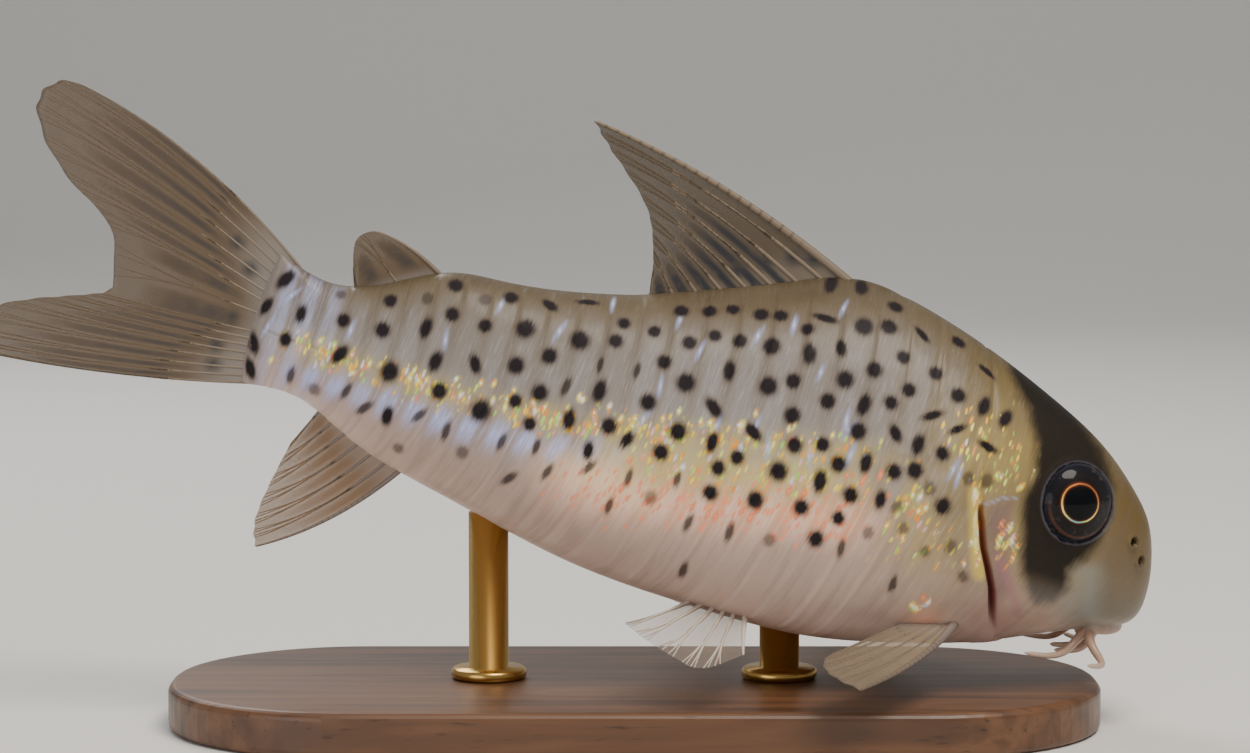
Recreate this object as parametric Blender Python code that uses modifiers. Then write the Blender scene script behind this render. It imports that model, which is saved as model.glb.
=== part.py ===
"""Life-size model of a spotted corydoras catfish, nosing down over a small display stand.

The fish is drawn in its own frame, in millimetres. A point there is (along, side, up): along
runs from the tip of the snout to the tail, side is towards the fish's left, and up is towards
its back. Every piece of the fish is made in that frame and hangs from one empty, which tips
the fish nose down over the stand.

The bare body is one smooth surface, skin_points, read from a few named lines. Head, trunk and
tail stem are lengths of it, parted by thin cuts, and every fin, eye and rod is set on it.
"""

import math
from dataclasses import dataclass
from typing import Callable

import bmesh
import bpy
import numpy as np
from mathutils import Matrix, Vector

MM = 0.001
GAP = 0.3

# Pose and stand
PITCH = math.radians(17.0)
SNOUT_X = 23.2
SNOUT_Z = 6.1
BASE_LENGTH = 42.0
BASE_WIDTH = 18.0
BASE_THICKNESS = 2.0
BASE_CORNER = 8.4
BASE_CORNER_STEPS = 7
BASE_EDGE = 0.5
ROD_RADIUS = 0.9
ROD_SIDES = 16
ROD_ALONGS = {"stand_rod_front": 15.4, "stand_rod_rear": 29.4}
ROD_REACH = (8, 36)

# Lengths along the body
HEAD_END_BACK = 13.3
HEAD_END_BELLY = 5.0
SHOULDER_AT_SEAM = 10.5
STEM_END = 41.6
SCUTES = 23
TRUNK_SCUTES = 15
SCUTE_CROWDING = 0.16

# Raised bone
SCUTE_LIFT = 0.3
LAST_SCUTE_LIFT = 0.17
SCUTE_SWEEP_BACK = 2.6
SCUTE_SWEEP_BELLY = 3.6
SCUTE_BEND = 1.3
SCUTE_STRAIGHTENING = 0.8
SCUTE_REAR = 0.93
SCUTES_TO_CLOSE_BELLY = 4
GILL_COVER_LIFT = 0.28
GILL_COVER_START = 5.5
GILL_COVER_ONSET = 1.3
GILL_COVER_TURNS = (0.5, 0.86)
GILL_COVER_FADE = 0.055

# Turns are places round half a section: 0 on the back, 0.5 on the seam, 1 under the belly
SEAM = 0.5
SEAM_HALF = 0.022
BARE_BACK = 0.05
BARE_BELLY = 0.86
BARE_STEM_BELLY = 0.98
PLATE_FADE = 0.05
HALF_TURNS = np.concatenate([
    [0.0, 0.5 * BARE_BACK],
    np.linspace(BARE_BACK, SEAM - SEAM_HALF, 8),
    [SEAM],
    np.linspace(SEAM + SEAM_HALF, BARE_BELLY, 7),
    [BARE_BELLY + PLATE_FADE, BARE_BELLY + 2 * PLATE_FADE, 1.0],
])
HEAD_RINGS = 24
HEAD_CROWDING = 1.5
SHOULDER_RINGS = 3
SECTION_SAMPLES = 129
DROP_FROM = 1.5
DROP_TO = -3.0
DROP_STEPS = 451

# Eye
EYE_ALONG = 4.78
EYE_UP = 3.08
EYE_RADIUS = 1.7
EYE_DEPTH = 0.95
EYE_BULGE = 0.6
EYE_SEGMENTS = 20
EYE_RINGS = 12
ORBIT_RADIUS = 1.98
ORBIT_RIM = 0.24
ORBIT_KNOTS = 24

# Nostrils, as (along, up) on the side of the snout
NOSTRILS = ((1.15, 1.3), (1.75, 2.05))
NOSTRIL_RADIUS = 0.22
NOSTRIL_RIM = 0.14
NOSTRIL_DEPTH = 0.45
NOSTRIL_KNOTS = 10

# Mouth, on the underside of the snout
MOUTH_HALF_WIDTH = 1.5
UPPER_LIP_FRONT = 0.95
LOWER_LIP_FRONT = 1.75
MOUTH_CORNER = 2.2
LIP_RADIUS = 0.36
LIP_POINTS = 11
LIP_TAPER = 0.35
LIP_LIFT = 0.05
MOUTH_SLIT_RADIUS = 0.13
MOUTH_SLIT_LIFT = 0.25

# Barbels: radii, then where each starts and its route on the right side, from its start
LOBE_RADIUS = 0.42
BARBEL_FOOT = 0.3
BARBEL_TIP = 0.12
BARBEL_POINTS = 12
CHIN_BARBEL_SIDE = 0.5
BARBEL_ROUTES = {
    "barbel_upper": ((-0.15, -0.7, -0.6), (-0.6, -1.35, -1.05), (-0.6, -2.15, -1.25), (0.1, -3.05, -1.3)),
    "barbel_lower": ((0.45, -0.3, -0.65), (0.85, -0.75, -1.25), (1.6, -1.3, -1.6), (2.7, -1.6, -1.75)),
    "barbel_chin": ((0.15, -0.05, -0.68), (0.4, -0.15, -1.1), (0.9, -0.25, -1.35), (1.5, -0.3, -1.5)),
}

# Fins
MEMBRANE = 0.5
RAY = 0.82
FIN_EDGE = 0.36
WEB_REACH = 0.965
ROOT_SHARE = 0.3
THICKEST = 2.0


def natural_cubic(places, values):
    """A smooth line through rows of values, one for each place, as a function of place."""
    places, values = np.array(places, float), np.array(values, float)
    steps = np.diff(places)
    slopes = np.diff(values, axis=0) / steps[:, None]
    matrix = np.eye(len(places))
    bending = np.zeros_like(values)
    for i in range(1, len(places) - 1):
        matrix[i, i - 1 : i + 2] = steps[i - 1], 2 * (steps[i - 1] + steps[i]), steps[i]
        bending[i] = 6 * (slopes[i] - slopes[i - 1])
    bends = np.linalg.solve(matrix, bending)

    def value_at(place):
        place = np.asarray(place, float)
        i = np.clip(np.searchsorted(places, place) - 1, 0, len(steps) - 1)
        step = steps[i][..., None]
        low = (place - places[i])[..., None]
        high = (places[i + 1] - place)[..., None]
        cubic = (bends[i] * high**3 + bends[i + 1] * low**3) / (6 * step)
        straight = (values[i] / step - bends[i] * step / 6) * high
        return cubic + straight + (values[i + 1] / step - bends[i + 1] * step / 6) * low

    return value_at


def body_line(*knots):
    """A smooth line through (along, value) knots, as a function of along.

    It runs on the square root of the distance from the snout, which makes the snout round.
    """
    line = natural_cubic([math.sqrt(along) for along, _ in knots], [[value] for _, value in knots])
    return lambda along: line(np.sqrt(np.clip(along, 0, None)))[..., 0]


back = body_line(
    (0, -0.55), (0.6, 1.3), (1.9, 3.3), (4.1, 5.18), (7.5, 6.95), (10.8, 8.35), (14.8, 9.2),
    (19.6, 8.05), (25.5, 6.08), (32.0, 4.75), (36.6, 3.25), (39.3, 2.45), (41.6, 3.0),
)
belly = body_line(
    (0, -0.55), (0.3, -1.55), (1.7, -2.3), (4.2, -3.3), (7.1, -4.55), (10.3, -5.5), (14.7, -6.45),
    (20.0, -6.65), (25.6, -6.4), (32.0, -5.2), (36.6, -3.95), (39.3, -2.9), (41.6, -3.0),
)
half_width = body_line(
    (0, 0), (0.6, 1.8), (1.9, 2.9), (4.5, 3.95), (8.0, 5.05), (11.5, 5.65), (16.0, 5.5),
    (24.0, 4.45), (32.0, 2.9), (38.6, 1.65), (41.6, 1.2),
)
widest_up = body_line((0, -0.55), (2.0, 0.2), (6.0, 0.2), (12.0, -1.2), (24.0, -0.9), (41.6, -0.35))
back_fullness = body_line((0, 2.2), (4.5, 3.2), (9.0, 2.4), (16.0, 1.85), (41.6, 2.1))
belly_fullness = body_line((0, 2.3), (4.5, 2.7), (12.0, 2.9), (24.0, 2.7), (34.0, 2.1), (41.6, 2.1))
seam_up = body_line((0, -0.55), (2.0, 1.1), (5.0, 2.1), (10.5, 3.0), (21.5, 1.1), (30.5, -0.3), (41.6, -0.4))


def side_at(along, up):
    """How far the right side of the bare body is from the middle plane."""
    middle = widest_up(along)
    above = up > middle
    height = np.maximum(np.where(above, back(along) - middle, middle - belly(along)), 1e-6)
    fullness = np.where(above, back_fullness(along), belly_fullness(along))
    share = np.clip(np.abs(up - middle) / height, 0, 1)
    return -half_width(along) * (1 - share**fullness) ** (1 / fullness)


def under_at(along, side):
    """The up of the underside of the bare body at a distance from the middle plane."""
    share = np.clip(np.abs(side) / half_width(along), 0, 1)
    fullness = belly_fullness(along)
    return widest_up(along) - (widest_up(along) - belly(along)) * (1 - share**fullness) ** (1 / fullness)


def skin_points(along, turn):
    """Points on the bare right side, one for each pair of along and turn, as rows of a table."""
    along, turn = np.broadcast_arrays(np.asarray(along, float), np.asarray(turn, float))
    angle = np.linspace(math.pi / 2, -math.pi / 2, SECTION_SAMPLES)
    middle = widest_up(along)[:, None]
    above = angle > 0
    height = np.where(above, back(along)[:, None] - middle, middle - belly(along)[:, None])
    fullness = np.where(above, back_fullness(along)[:, None], belly_fullness(along)[:, None])
    height = np.maximum(height, 1e-6)
    width = np.maximum(half_width(along), 1e-6)[:, None]
    spread = np.abs(np.cos(angle) / width) ** fullness + np.abs(np.sin(angle) / height) ** fullness
    reach = spread ** (-1 / fullness)
    side, up = reach * np.cos(angle), middle + reach * np.sin(angle)
    run = np.cumsum(np.hypot(np.diff(side), np.diff(up)), axis=1)
    run = np.concatenate([np.zeros((len(along), 1)), run], axis=1)
    seam = seam_up(along)
    points = np.zeros((len(along), 3))
    for i, place in enumerate(turn):
        at_seam = np.interp(-seam[i], -up[i], run[i])
        above_seam = min(place, SEAM) / SEAM
        below_seam = max(place - SEAM, 0) / (1 - SEAM)
        distance = above_seam * at_seam + below_seam * (run[i, -1] - at_seam)
        points[i] = along[i], -np.interp(distance, run[i], side[i]), np.interp(distance, run[i], up[i])
    points[(turn <= 0) | (turn >= 1), 1] = 0
    return points


def skin_normals(along, turn):
    """Outward directions of the bare right side, for the same pairs as skin_points."""
    along, turn = np.broadcast_arrays(np.asarray(along, float), np.asarray(turn, float))
    small_turn, small_along = 0.004, 0.02
    low, high = np.clip(turn - small_turn, 0, 1), np.clip(turn + small_turn, 0, 1)
    round_body = skin_points(along, high) - skin_points(along, low)
    down_body = skin_points(along + small_along, turn)
    down_body -= skin_points(np.maximum(along - small_along, 0), turn)
    round_body[(turn <= 0) | (turn >= 1), 2] = 0
    normals = np.cross(round_body, down_body)
    return normals / np.maximum(np.linalg.norm(normals, axis=1), 1e-9)[:, None]


def raised_skin(along, turn, lift):
    """Points that stand a lift in millimetres above the bare right side."""
    return skin_points(along, turn) + skin_normals(along, turn) * np.reshape(lift, (-1, 1))


def in_fish(point):
    """An (along, side, up) point in millimetres as a vector of the fish's frame, in metres."""
    return Vector((-point[0], point[1], point[2])) * MM


def to_left(points):
    return np.asarray(points, float) * np.array([1, -1, 1])


def clear_scene():
    for old in list(bpy.data.objects):
        bpy.data.objects.remove(old, do_unlink=True)


def new_collection(name):
    made = bpy.data.collections.new(name)
    bpy.context.scene.collection.children.link(made)
    return made


def new_material(name, colour, roughness, metallic=0.0):
    made = bpy.data.materials.new(name)
    made.use_nodes = True
    shader = made.node_tree.nodes["Principled BSDF"]
    shader.inputs["Base Color"].default_value = (*colour, 1.0)
    shader.inputs["Roughness"].default_value = roughness
    shader.inputs["Metallic"].default_value = metallic
    return made


def link_shape(name, shape, collection, finish=None):
    """A mesh object from a bmesh, which is freed. A closed shape has its faces turned outwards."""
    bmesh.ops.recalc_face_normals(shape, faces=shape.faces)
    if shape.calc_volume(signed=True) < 0:
        bmesh.ops.reverse_faces(shape, faces=shape.faces)
    mesh = bpy.data.meshes.new(name)
    shape.to_mesh(mesh)
    shape.free()
    mesh.shade_smooth()
    made = bpy.data.objects.new(name, mesh)
    if finish:
        mesh.materials.append(finish)
    collection.objects.link(made)
    return made


def body_length(name, rings, collection, finish, pole=None):
    """A closed length of the body from rings of right-side points, each mirrored to the left.

    The ends are ladders across the body, so that neighbours part along the same curved cut.
    """
    half = len(rings[0])
    shape = bmesh.new()
    loops = []
    for ring in rings:
        whole = [*ring, *to_left(ring[-2:0:-1])]
        loops.append([shape.verts.new(in_fish(point)) for point in whole])
    for first, second in zip(loops, loops[1:]):
        for i in range(len(first)):
            shape.faces.new((first[i - 1], first[i], second[i], second[i - 1]))
    for loop in loops[-1:] if pole is not None else (loops[0], loops[-1]):
        shape.faces.new((loop[0], loop[1], loop[-1]))
        for i in range(1, half - 2):
            shape.faces.new((loop[i], loop[i + 1], loop[-i - 1], loop[-i]))
        shape.faces.new((loop[half - 2], loop[half - 1], loop[half]))
    if pole is not None:
        tip = shape.verts.new(in_fish(pole))
        for i in range(len(loops[0])):
            shape.faces.new((tip, loops[0][i - 1], loops[0][i]))
    return link_shape(name, shape, collection, finish)


def tube(name, points, radii, collection, finish=None, cyclic=False):
    """A mesh tube through points of the fish's frame, with a radius in millimetres at each."""
    curve = bpy.data.curves.new(name, "CURVE")
    curve.dimensions = "3D"
    curve.bevel_depth = MM
    curve.bevel_resolution = 2
    curve.use_fill_caps = not cyclic
    spline = curve.splines.new("POLY")
    spline.points.add(len(points) - 1)
    spline.use_cyclic_u = cyclic
    for knot, point, radius in zip(spline.points, points, radii):
        knot.co = (*in_fish(point), 1)
        knot.radius = radius
    guide = bpy.data.objects.new(name + "_guide", curve)
    collection.objects.link(guide)
    solid = guide.evaluated_get(bpy.context.evaluated_depsgraph_get())
    mesh = bpy.data.meshes.new_from_object(solid)
    bpy.data.objects.remove(guide)
    shape = bmesh.new()
    shape.from_mesh(mesh)
    bmesh.ops.remove_doubles(shape, verts=shape.verts, dist=0.01 * MM)
    return link_shape(name, shape, collection, finish)


def keep_largest(shape):
    """Removes every closed surface of a bmesh but the one with the most faces."""
    left = set(shape.verts)
    islands = []
    while left:
        island, edge = set(), [left.pop()]
        while edge:
            vertex = edge.pop()
            island.add(vertex)
            near = {link.other_vert(vertex) for link in vertex.link_edges} & left
            left -= near
            edge += near
        islands.append(island)
    islands.sort(key=len)
    scraps = [vertex for island in islands[:-1] for vertex in island]
    bmesh.ops.delete(shape, geom=scraps, context="VERTS")


def apply_boolean(target, operation, others):
    """Joins or cuts an object with all that a collection holds, and empties the collection."""
    modifier = target.modifiers.new(operation.title(), "BOOLEAN")
    modifier.operation = operation
    modifier.operand_type = "COLLECTION"
    modifier.collection = others
    solid = target.evaluated_get(bpy.context.evaluated_depsgraph_get())
    mesh = bpy.data.meshes.new_from_object(solid)
    target.modifiers.remove(modifier)
    shape = bmesh.new()
    shape.from_mesh(mesh)
    keep_largest(shape)
    shape.to_mesh(target.data)
    shape.free()
    for other in list(others.objects):
        bpy.data.objects.remove(other)


def head_end(turn):
    """Where the head stops: the rear edge of the gill cover, carried up to the nape."""
    return HEAD_END_BACK + (HEAD_END_BELLY - HEAD_END_BACK) * turn


def gill_cover(along, turn):
    """How far the gill cover stands out: fully from a little behind its front edge."""
    onset = np.clip((along - GILL_COVER_START) / GILL_COVER_ONSET, 0, 1)
    top = np.clip((turn - GILL_COVER_TURNS[0]) / GILL_COVER_FADE, 0, 1)
    foot = np.clip((GILL_COVER_TURNS[1] - turn) / GILL_COVER_FADE, 0, 1)
    return onset * top * foot


def head_rings():
    rings = []
    for ring in range(1, HEAD_RINGS + 1):
        along = (ring / HEAD_RINGS) ** HEAD_CROWDING * head_end(HALF_TURNS)
        rings.append(raised_skin(along, HALF_TURNS, GILL_COVER_LIFT * gill_cover(along, HALF_TURNS)))
    return rings


def scute_edge(number, turn):
    """Along of the front edge of a scute: a chevron with its point forward on the seam."""
    share = number / SCUTES
    crowded = share + SCUTE_CROWDING * share * (1 - share)
    at_seam = SHOULDER_AT_SEAM + (STEM_END - SHOULDER_AT_SEAM) * crowded
    above = np.clip(SEAM - turn, 0, None) / SEAM
    below = np.clip(turn - SEAM, 0, None) / (1 - SEAM)
    sweep = SCUTE_SWEEP_BACK * above**SCUTE_BEND + SCUTE_SWEEP_BELLY * below**SCUTE_BEND
    return at_seam + sweep * (1 - share) ** SCUTE_STRAIGHTENING


def scute_cover(number, turn):
    """How far a scute stands out at a turn: nothing on the bare back, seam and belly."""
    closing = np.clip((number - TRUNK_SCUTES) / SCUTES_TO_CLOSE_BELLY + 0.5, 0, 1)
    bare_belly = BARE_BELLY + (BARE_STEM_BELLY - BARE_BELLY) * closing
    on_back = np.clip(turn / BARE_BACK, 0, 1)
    off_seam = np.clip(np.abs(turn - SEAM) / SEAM_HALF, 0, 1)
    off_belly = np.clip((bare_belly - turn) / PLATE_FADE + 0.5, 0, 1)
    return on_back * off_seam * off_belly


def scute_rings(first, last):
    """Two rings for each scute: its front edge low, and its rear edge raised over the next one."""
    rings = []
    end = scute_edge(last, HALF_TURNS) - GAP
    for number in range(first, last):
        front = scute_edge(number, HALF_TURNS)
        rear = np.minimum(front + SCUTE_REAR * (scute_edge(number + 1, HALF_TURNS) - front), end)
        rings.append(skin_points(front, HALF_TURNS))
        lift = SCUTE_LIFT + (LAST_SCUTE_LIFT - SCUTE_LIFT) * number / SCUTES
        rings.append(raised_skin(rear, HALF_TURNS, lift * scute_cover(number, HALF_TURNS)))
    return rings


def shoulder_rings():
    """The bare skin between the gill opening and the first scutes."""
    front = head_end(HALF_TURNS) + GAP
    first_scute = scute_edge(0, HALF_TURNS)
    shares = np.arange(SHOULDER_RINGS) / SHOULDER_RINGS
    return [skin_points(front + share * (first_scute - front), HALF_TURNS) for share in shares]


def flank_frame(along, up):
    """A place on the right side of the head, its outward direction and its direction tailwards."""
    small = 0.3
    tailwards = float(side_at(along + small, up) - side_at(along - small, up)) / (2 * small)
    upwards = float(side_at(along, up + small) - side_at(along, up - small)) / (2 * small)
    outward = np.array([tailwards, -1, upwards])
    back_along = np.array([1, tailwards, 0])
    centre = np.array([along, float(side_at(along, up)), up])
    return centre, outward / np.linalg.norm(outward), back_along / np.linalg.norm(back_along)


def dropped_on_skin(point, outward):
    """Where a line along outward through a point first meets the right side, from outside."""
    steps = np.linspace(DROP_FROM, DROP_TO, DROP_STEPS)
    line = point + np.outer(steps, outward)
    inside = (line[:, 2] < back(line[:, 0])) & (line[:, 1] > side_at(line[:, 0], line[:, 2]))
    return line[np.argmax(inside)]


def flank_place(along, up, depth, sign):
    """A matrix that stands a shape on the side of the head, or a depth in mm under the skin."""
    centre, outward, _ = flank_frame(along, up)
    turned = Vector((0, 0, 1)).rotation_difference(in_fish(outward)).to_matrix().to_4x4()
    mirror = Matrix.Diagonal((1, -sign, 1, 1))
    return mirror @ Matrix.Translation(in_fish(centre - depth * outward)) @ turned


def eyeball(name, growth, sign, collection, finish=None):
    """A flattened ball in the flank of the head: the eye, or with a growth the room for it."""
    wide, deep = (EYE_RADIUS + growth) * MM, (EYE_DEPTH + growth) * MM
    place = flank_place(EYE_ALONG, EYE_UP, EYE_DEPTH - EYE_BULGE, sign)
    shape = bmesh.new()
    bmesh.ops.create_uvsphere(shape, u_segments=EYE_SEGMENTS, v_segments=EYE_RINGS, radius=1)
    flattened = Matrix.Diagonal((wide, wide, deep, 1))
    bmesh.ops.transform(shape, matrix=place @ flattened, verts=shape.verts)
    return link_shape(name, shape, collection, finish)


def flank_ring(name, along, up, radius, rim, sign, collection, knots):
    """A rounded rim on the skin, on a circle about a place on the side of the head."""
    centre, outward, back_along = flank_frame(along, up)
    upward = np.cross(outward, back_along)
    angles = np.linspace(0, math.tau, knots, endpoint=False)
    circle = np.outer(np.cos(angles), back_along) + np.outer(np.sin(angles), upward)
    points = np.array([dropped_on_skin(centre + radius * spoke, outward) for spoke in circle])
    points = points if sign < 0 else to_left(points)
    return tube(name, points, [rim] * knots, collection, cyclic=True)


def nostril_pit(name, along, up, sign, collection):
    shape = bmesh.new()
    bmesh.ops.create_cone(
        shape, cap_ends=True, segments=10, matrix=flank_place(along, up, 0, sign),
        radius1=NOSTRIL_RADIUS * MM, radius2=NOSTRIL_RADIUS * MM, depth=2 * NOSTRIL_DEPTH * MM,
    )
    return link_shape(name, shape, collection)


def mouth_lobe(name, sign, collection):
    """The fleshy knob at a corner of the mouth, which carries two barbels."""
    shape = bmesh.new()
    place = Matrix.Translation(in_fish(barbel_start(name) * np.array([1, -sign, 1])))
    bmesh.ops.create_uvsphere(
        shape, u_segments=12, v_segments=8, radius=LOBE_RADIUS * MM, matrix=place
    )
    return link_shape(name, shape, collection)


def mouth_arc(front, lift, radius):
    """Points and radii of an arc under the snout, from one corner of the mouth to the other."""
    across = np.linspace(-1, 1, LIP_POINTS)
    sides = MOUTH_HALF_WIDTH * across
    alongs = front + (MOUTH_CORNER - front) * across**2
    points = np.column_stack([alongs, sides, under_at(alongs, sides) - lift])
    radii = radius * (1 - LIP_TAPER * across**2)
    return points, radii


def make_head(parts, additions, cutters, finishes):
    head = body_length("head", head_rings(), parts, finishes["skin"], pole=(0, 0, float(back(0.0))))
    for word, sign in (("right", -1), ("left", 1)):
        rim = ORBIT_RADIUS, ORBIT_RIM, sign, additions, ORBIT_KNOTS
        flank_ring(f"orbit_{word}", EYE_ALONG, EYE_UP, *rim)
        for number, (along, up) in enumerate(NOSTRILS):
            rim = NOSTRIL_RADIUS + 0.5 * NOSTRIL_RIM, NOSTRIL_RIM, sign, additions, NOSTRIL_KNOTS
            flank_ring(f"nostril_{number}_{word}", along, up, *rim)
            nostril_pit(f"nostril_pit_{number}_{word}", along, up, sign, cutters)
        eyeball(f"eye_room_{word}", GAP, sign, cutters)
        mouth_lobe(f"lobe_{word}", sign, additions)
    tube("upper_lip", *mouth_arc(UPPER_LIP_FRONT, LIP_LIFT, LIP_RADIUS), additions)
    tube("lower_lip", *mouth_arc(LOWER_LIP_FRONT, LIP_LIFT, LIP_RADIUS), additions)
    slit_front = 0.5 * (UPPER_LIP_FRONT + LOWER_LIP_FRONT)
    tube("mouth_slit", *mouth_arc(slit_front, MOUTH_SLIT_LIFT, MOUTH_SLIT_RADIUS), cutters)
    apply_boolean(head, "UNION", additions)
    apply_boolean(head, "DIFFERENCE", cutters)
    return head


@dataclass
class Fin:
    """A fin from its root line to its tips, both from the first ray to the last."""

    roots: Callable
    tips: tuple
    rays: int
    rows: int
    first_bow: tuple = (0, 0, 0)
    last_bow: tuple = (0, 0, 0)
    first_ray: float = RAY
    root: float = 0.9


def on_back(first, last):
    """A root line on the middle of the back."""
    def roots(place):
        along = first + (last - first) * place
        return np.column_stack([along, 0 * along, back(along) + GAP])

    return roots


def on_belly(first, last):
    """A root line on the middle of the belly."""
    def roots(place):
        along = first + (last - first) * place
        return np.column_stack([along, 0 * along, belly(along) - GAP])

    return roots


def on_flank(first, last):
    """A root line on the right side between two (along, turn) places."""
    def roots(place):
        along = first[0] + (last[0] - first[0]) * place
        turn = first[1] + (last[1] - first[1]) * place
        return raised_skin(along, turn, np.full(len(place), GAP + 0.1))

    return roots


def behind_stem(first_up, last_up):
    """A root line down the end of the tail stem."""
    def roots(place):
        up = first_up + (last_up - first_up) * place
        return np.column_stack([np.full(len(place), STEM_END + GAP), 0 * up, up])

    return roots


FINS = {
    "dorsal_fin": Fin(
        roots=on_back(15.9, 25.2),
        tips=((30.1, 0, 12.85), (28.9, 0, 11.75), (26.95, 0, 10.1), (26.05, 0, 8.6), (25.6, 0, 7.3)),
        rays=9, rows=8, first_bow=(-0.2, 0, 1.25), last_bow=(0.1, 0, 0), first_ray=1.15, root=1.2,
    ),
    "adipose_fin": Fin(
        roots=on_back(34.9, 37.9),
        tips=((38.6, 0, 5.2), (38.65, 0, 4.5), (38.35, 0, 3.3)),
        rays=3, rows=4, first_bow=(-0.1, 0, 0.35), first_ray=0.8, root=0.8,
    ),
    "anal_fin": Fin(
        roots=on_belly(33.6, 37.9),
        tips=((38.6, 0, -9.65), (39.15, 0, -8.6), (39.2, 0, -6.9), (38.95, 0, -5.1)),
        rays=7, rows=6, first_bow=(-0.5, 0, -0.9), first_ray=0.9, root=0.9,
    ),
    "caudal_fin_upper": Fin(
        roots=behind_stem(3.3, -0.12),
        tips=((53.7, 0, 7.6), (54.3, 0, 6.8), (53.1, 0, 5.15), (50.55, 0, 2.9), (48.95, 0, 1.05),
              (48.7, 0, -0.6)),
        rays=8, rows=9, first_bow=(0, 0, 1.8), first_ray=0.9, root=1.7,
    ),
    "caudal_fin_lower": Fin(
        roots=behind_stem(-0.42, -3.35),
        tips=((48.8, 0, -0.92), (50.8, 0, -1.7), (53.2, 0, -2.8), (54.9, 0, -4.4), (54.4, 0, -5.2)),
        rays=8, rows=9, last_bow=(0, 0, -0.4), root=1.7,
    ),
    "pelvic_fin": Fin(
        roots=on_flank((17.3, 0.885), (19.3, 0.9)),
        tips=((17.2, -7.6, -7.1), (18.7, -8.6, -8.0), (19.9, -8.5, -8.0), (21.4, -7.6, -7.7),
              (22.4, -6.2, -7.5)),
        rays=6, rows=6, first_bow=(0, 0, -0.3), last_bow=(0, 0, -0.3), root=0.8,
    ),
    "pectoral_fin": Fin(
        roots=on_flank((8.1, 0.8), (9.7, 0.8)),
        tips=((12.4, -11.6, -6.5), (13.7, -10.5, -6.4), (13.9, -8.7, -6.1), (12.9, -7.0, -5.6)),
        rays=7, rows=7, first_bow=(-0.9, 0.1, -0.2), last_bow=(0.2, 0, 0), first_ray=1.1, root=1.0,
    ),
}
PAIRED_FINS = ("pelvic_fin", "pectoral_fin")


def fin_thickness(fin, column, share):
    """Thickness at a share of the way out: rays stand proud, webs are thin, the root is stout."""
    if column % 2:
        thick = MEMBRANE
    else:
        thick = RAY if column else fin.first_ray
    thick += (FIN_EDGE - thick) * share**1.5
    near_root = max(0.0, 1 - share / ROOT_SHARE) ** 2
    return thick + (fin.root - thick) * near_root


def make_fin(name, fin, collection, finish, mirrored=False):
    """An open sheet of rays and webs, split into triangles, which Solidify makes thick."""
    steps = 2 * (fin.rays - 1)
    places = np.linspace(0, 1, steps + 1)
    roots = fin.roots(places)
    tips = natural_cubic(np.linspace(0, 1, len(fin.tips)), fin.tips)(places)
    bows = np.array(fin.first_bow) + np.outer(places, np.subtract(fin.last_bow, fin.first_bow))
    middles = (roots + tips) / 2 + bows
    sheet = bmesh.new()
    layer = sheet.verts.layers.deform.verify()
    columns = []
    for number in range(steps + 1):
        reach = WEB_REACH if number % 2 else 1.0
        column = []
        for share in np.linspace(0, reach, fin.rows + 1):
            weights = (1 - share) ** 2, 2 * share * (1 - share), share**2
            point = weights[0] * roots[number] + weights[1] * middles[number] + weights[2] * tips[number]
            vertex = sheet.verts.new(in_fish(to_left(point) if mirrored else point))
            vertex[layer][0] = fin_thickness(fin, number, share) / THICKEST
            column.append(vertex)
        columns.append(column)
    for first, second in zip(columns, columns[1:]):
        for row in range(fin.rows):
            sheet.faces.new((first[row], second[row], second[row + 1], first[row + 1]))
    bmesh.ops.triangulate(sheet, faces=sheet.faces)
    made = link_shape(name, sheet, collection, finish)
    made.vertex_groups.new(name="thickness")
    solidify = made.modifiers.new("Thickness", "SOLIDIFY")
    solidify.thickness = THICKEST * MM
    solidify.offset = 0
    solidify.vertex_group = "thickness"
    return made


def barbel_start(name):
    """The middle of what a barbel grows from: the lobe at the mouth's corner, or the lower lip."""
    if name == "barbel_chin":
        side = CHIN_BARBEL_SIDE
        along = LOWER_LIP_FRONT + (MOUTH_CORNER - LOWER_LIP_FRONT) * (side / MOUTH_HALF_WIDTH) ** 2
    else:
        along, side = MOUTH_CORNER, MOUTH_HALF_WIDTH
    return np.array([along, -side, float(under_at(along, side))])


def make_barbels(collection, finish):
    radii = np.linspace(BARBEL_FOOT, BARBEL_TIP, BARBEL_POINTS)
    for name, route in BARBEL_ROUTES.items():
        line = natural_cubic(np.linspace(0, 1, len(route)), barbel_start(name) + np.array(route))
        points = line(np.linspace(0, 1, BARBEL_POINTS))
        tube(name + "_right", points, radii, collection, finish)
        tube(name + "_left", to_left(points), radii, collection, finish)


def make_base(collection, finish):
    """A flat plate with round ends and an eased upper edge, its underside on the floor."""
    shape = bmesh.new()
    size = Matrix.Diagonal((BASE_LENGTH * MM, BASE_WIDTH * MM, BASE_THICKNESS * MM, 1))
    lifted = Matrix.Translation((0, 0, 0.5 * BASE_THICKNESS * MM))
    bmesh.ops.create_cube(shape, size=1, matrix=lifted @ size)
    upright = [edge for edge in shape.edges if abs(edge.verts[0].co.z - edge.verts[1].co.z) > MM]
    bmesh.ops.bevel(
        shape, geom=upright, offset=BASE_CORNER * MM, segments=BASE_CORNER_STEPS, affect="EDGES",
        profile=0.5,
    )
    top = BASE_THICKNESS * MM - 0.01 * MM
    rim = [edge for edge in shape.edges if min(vertex.co.z for vertex in edge.verts) > top]
    bmesh.ops.bevel(shape, geom=rim, offset=BASE_EDGE * MM, segments=2, affect="EDGES", profile=0.5)
    return link_shape("stand_base", shape, collection, finish)


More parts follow.
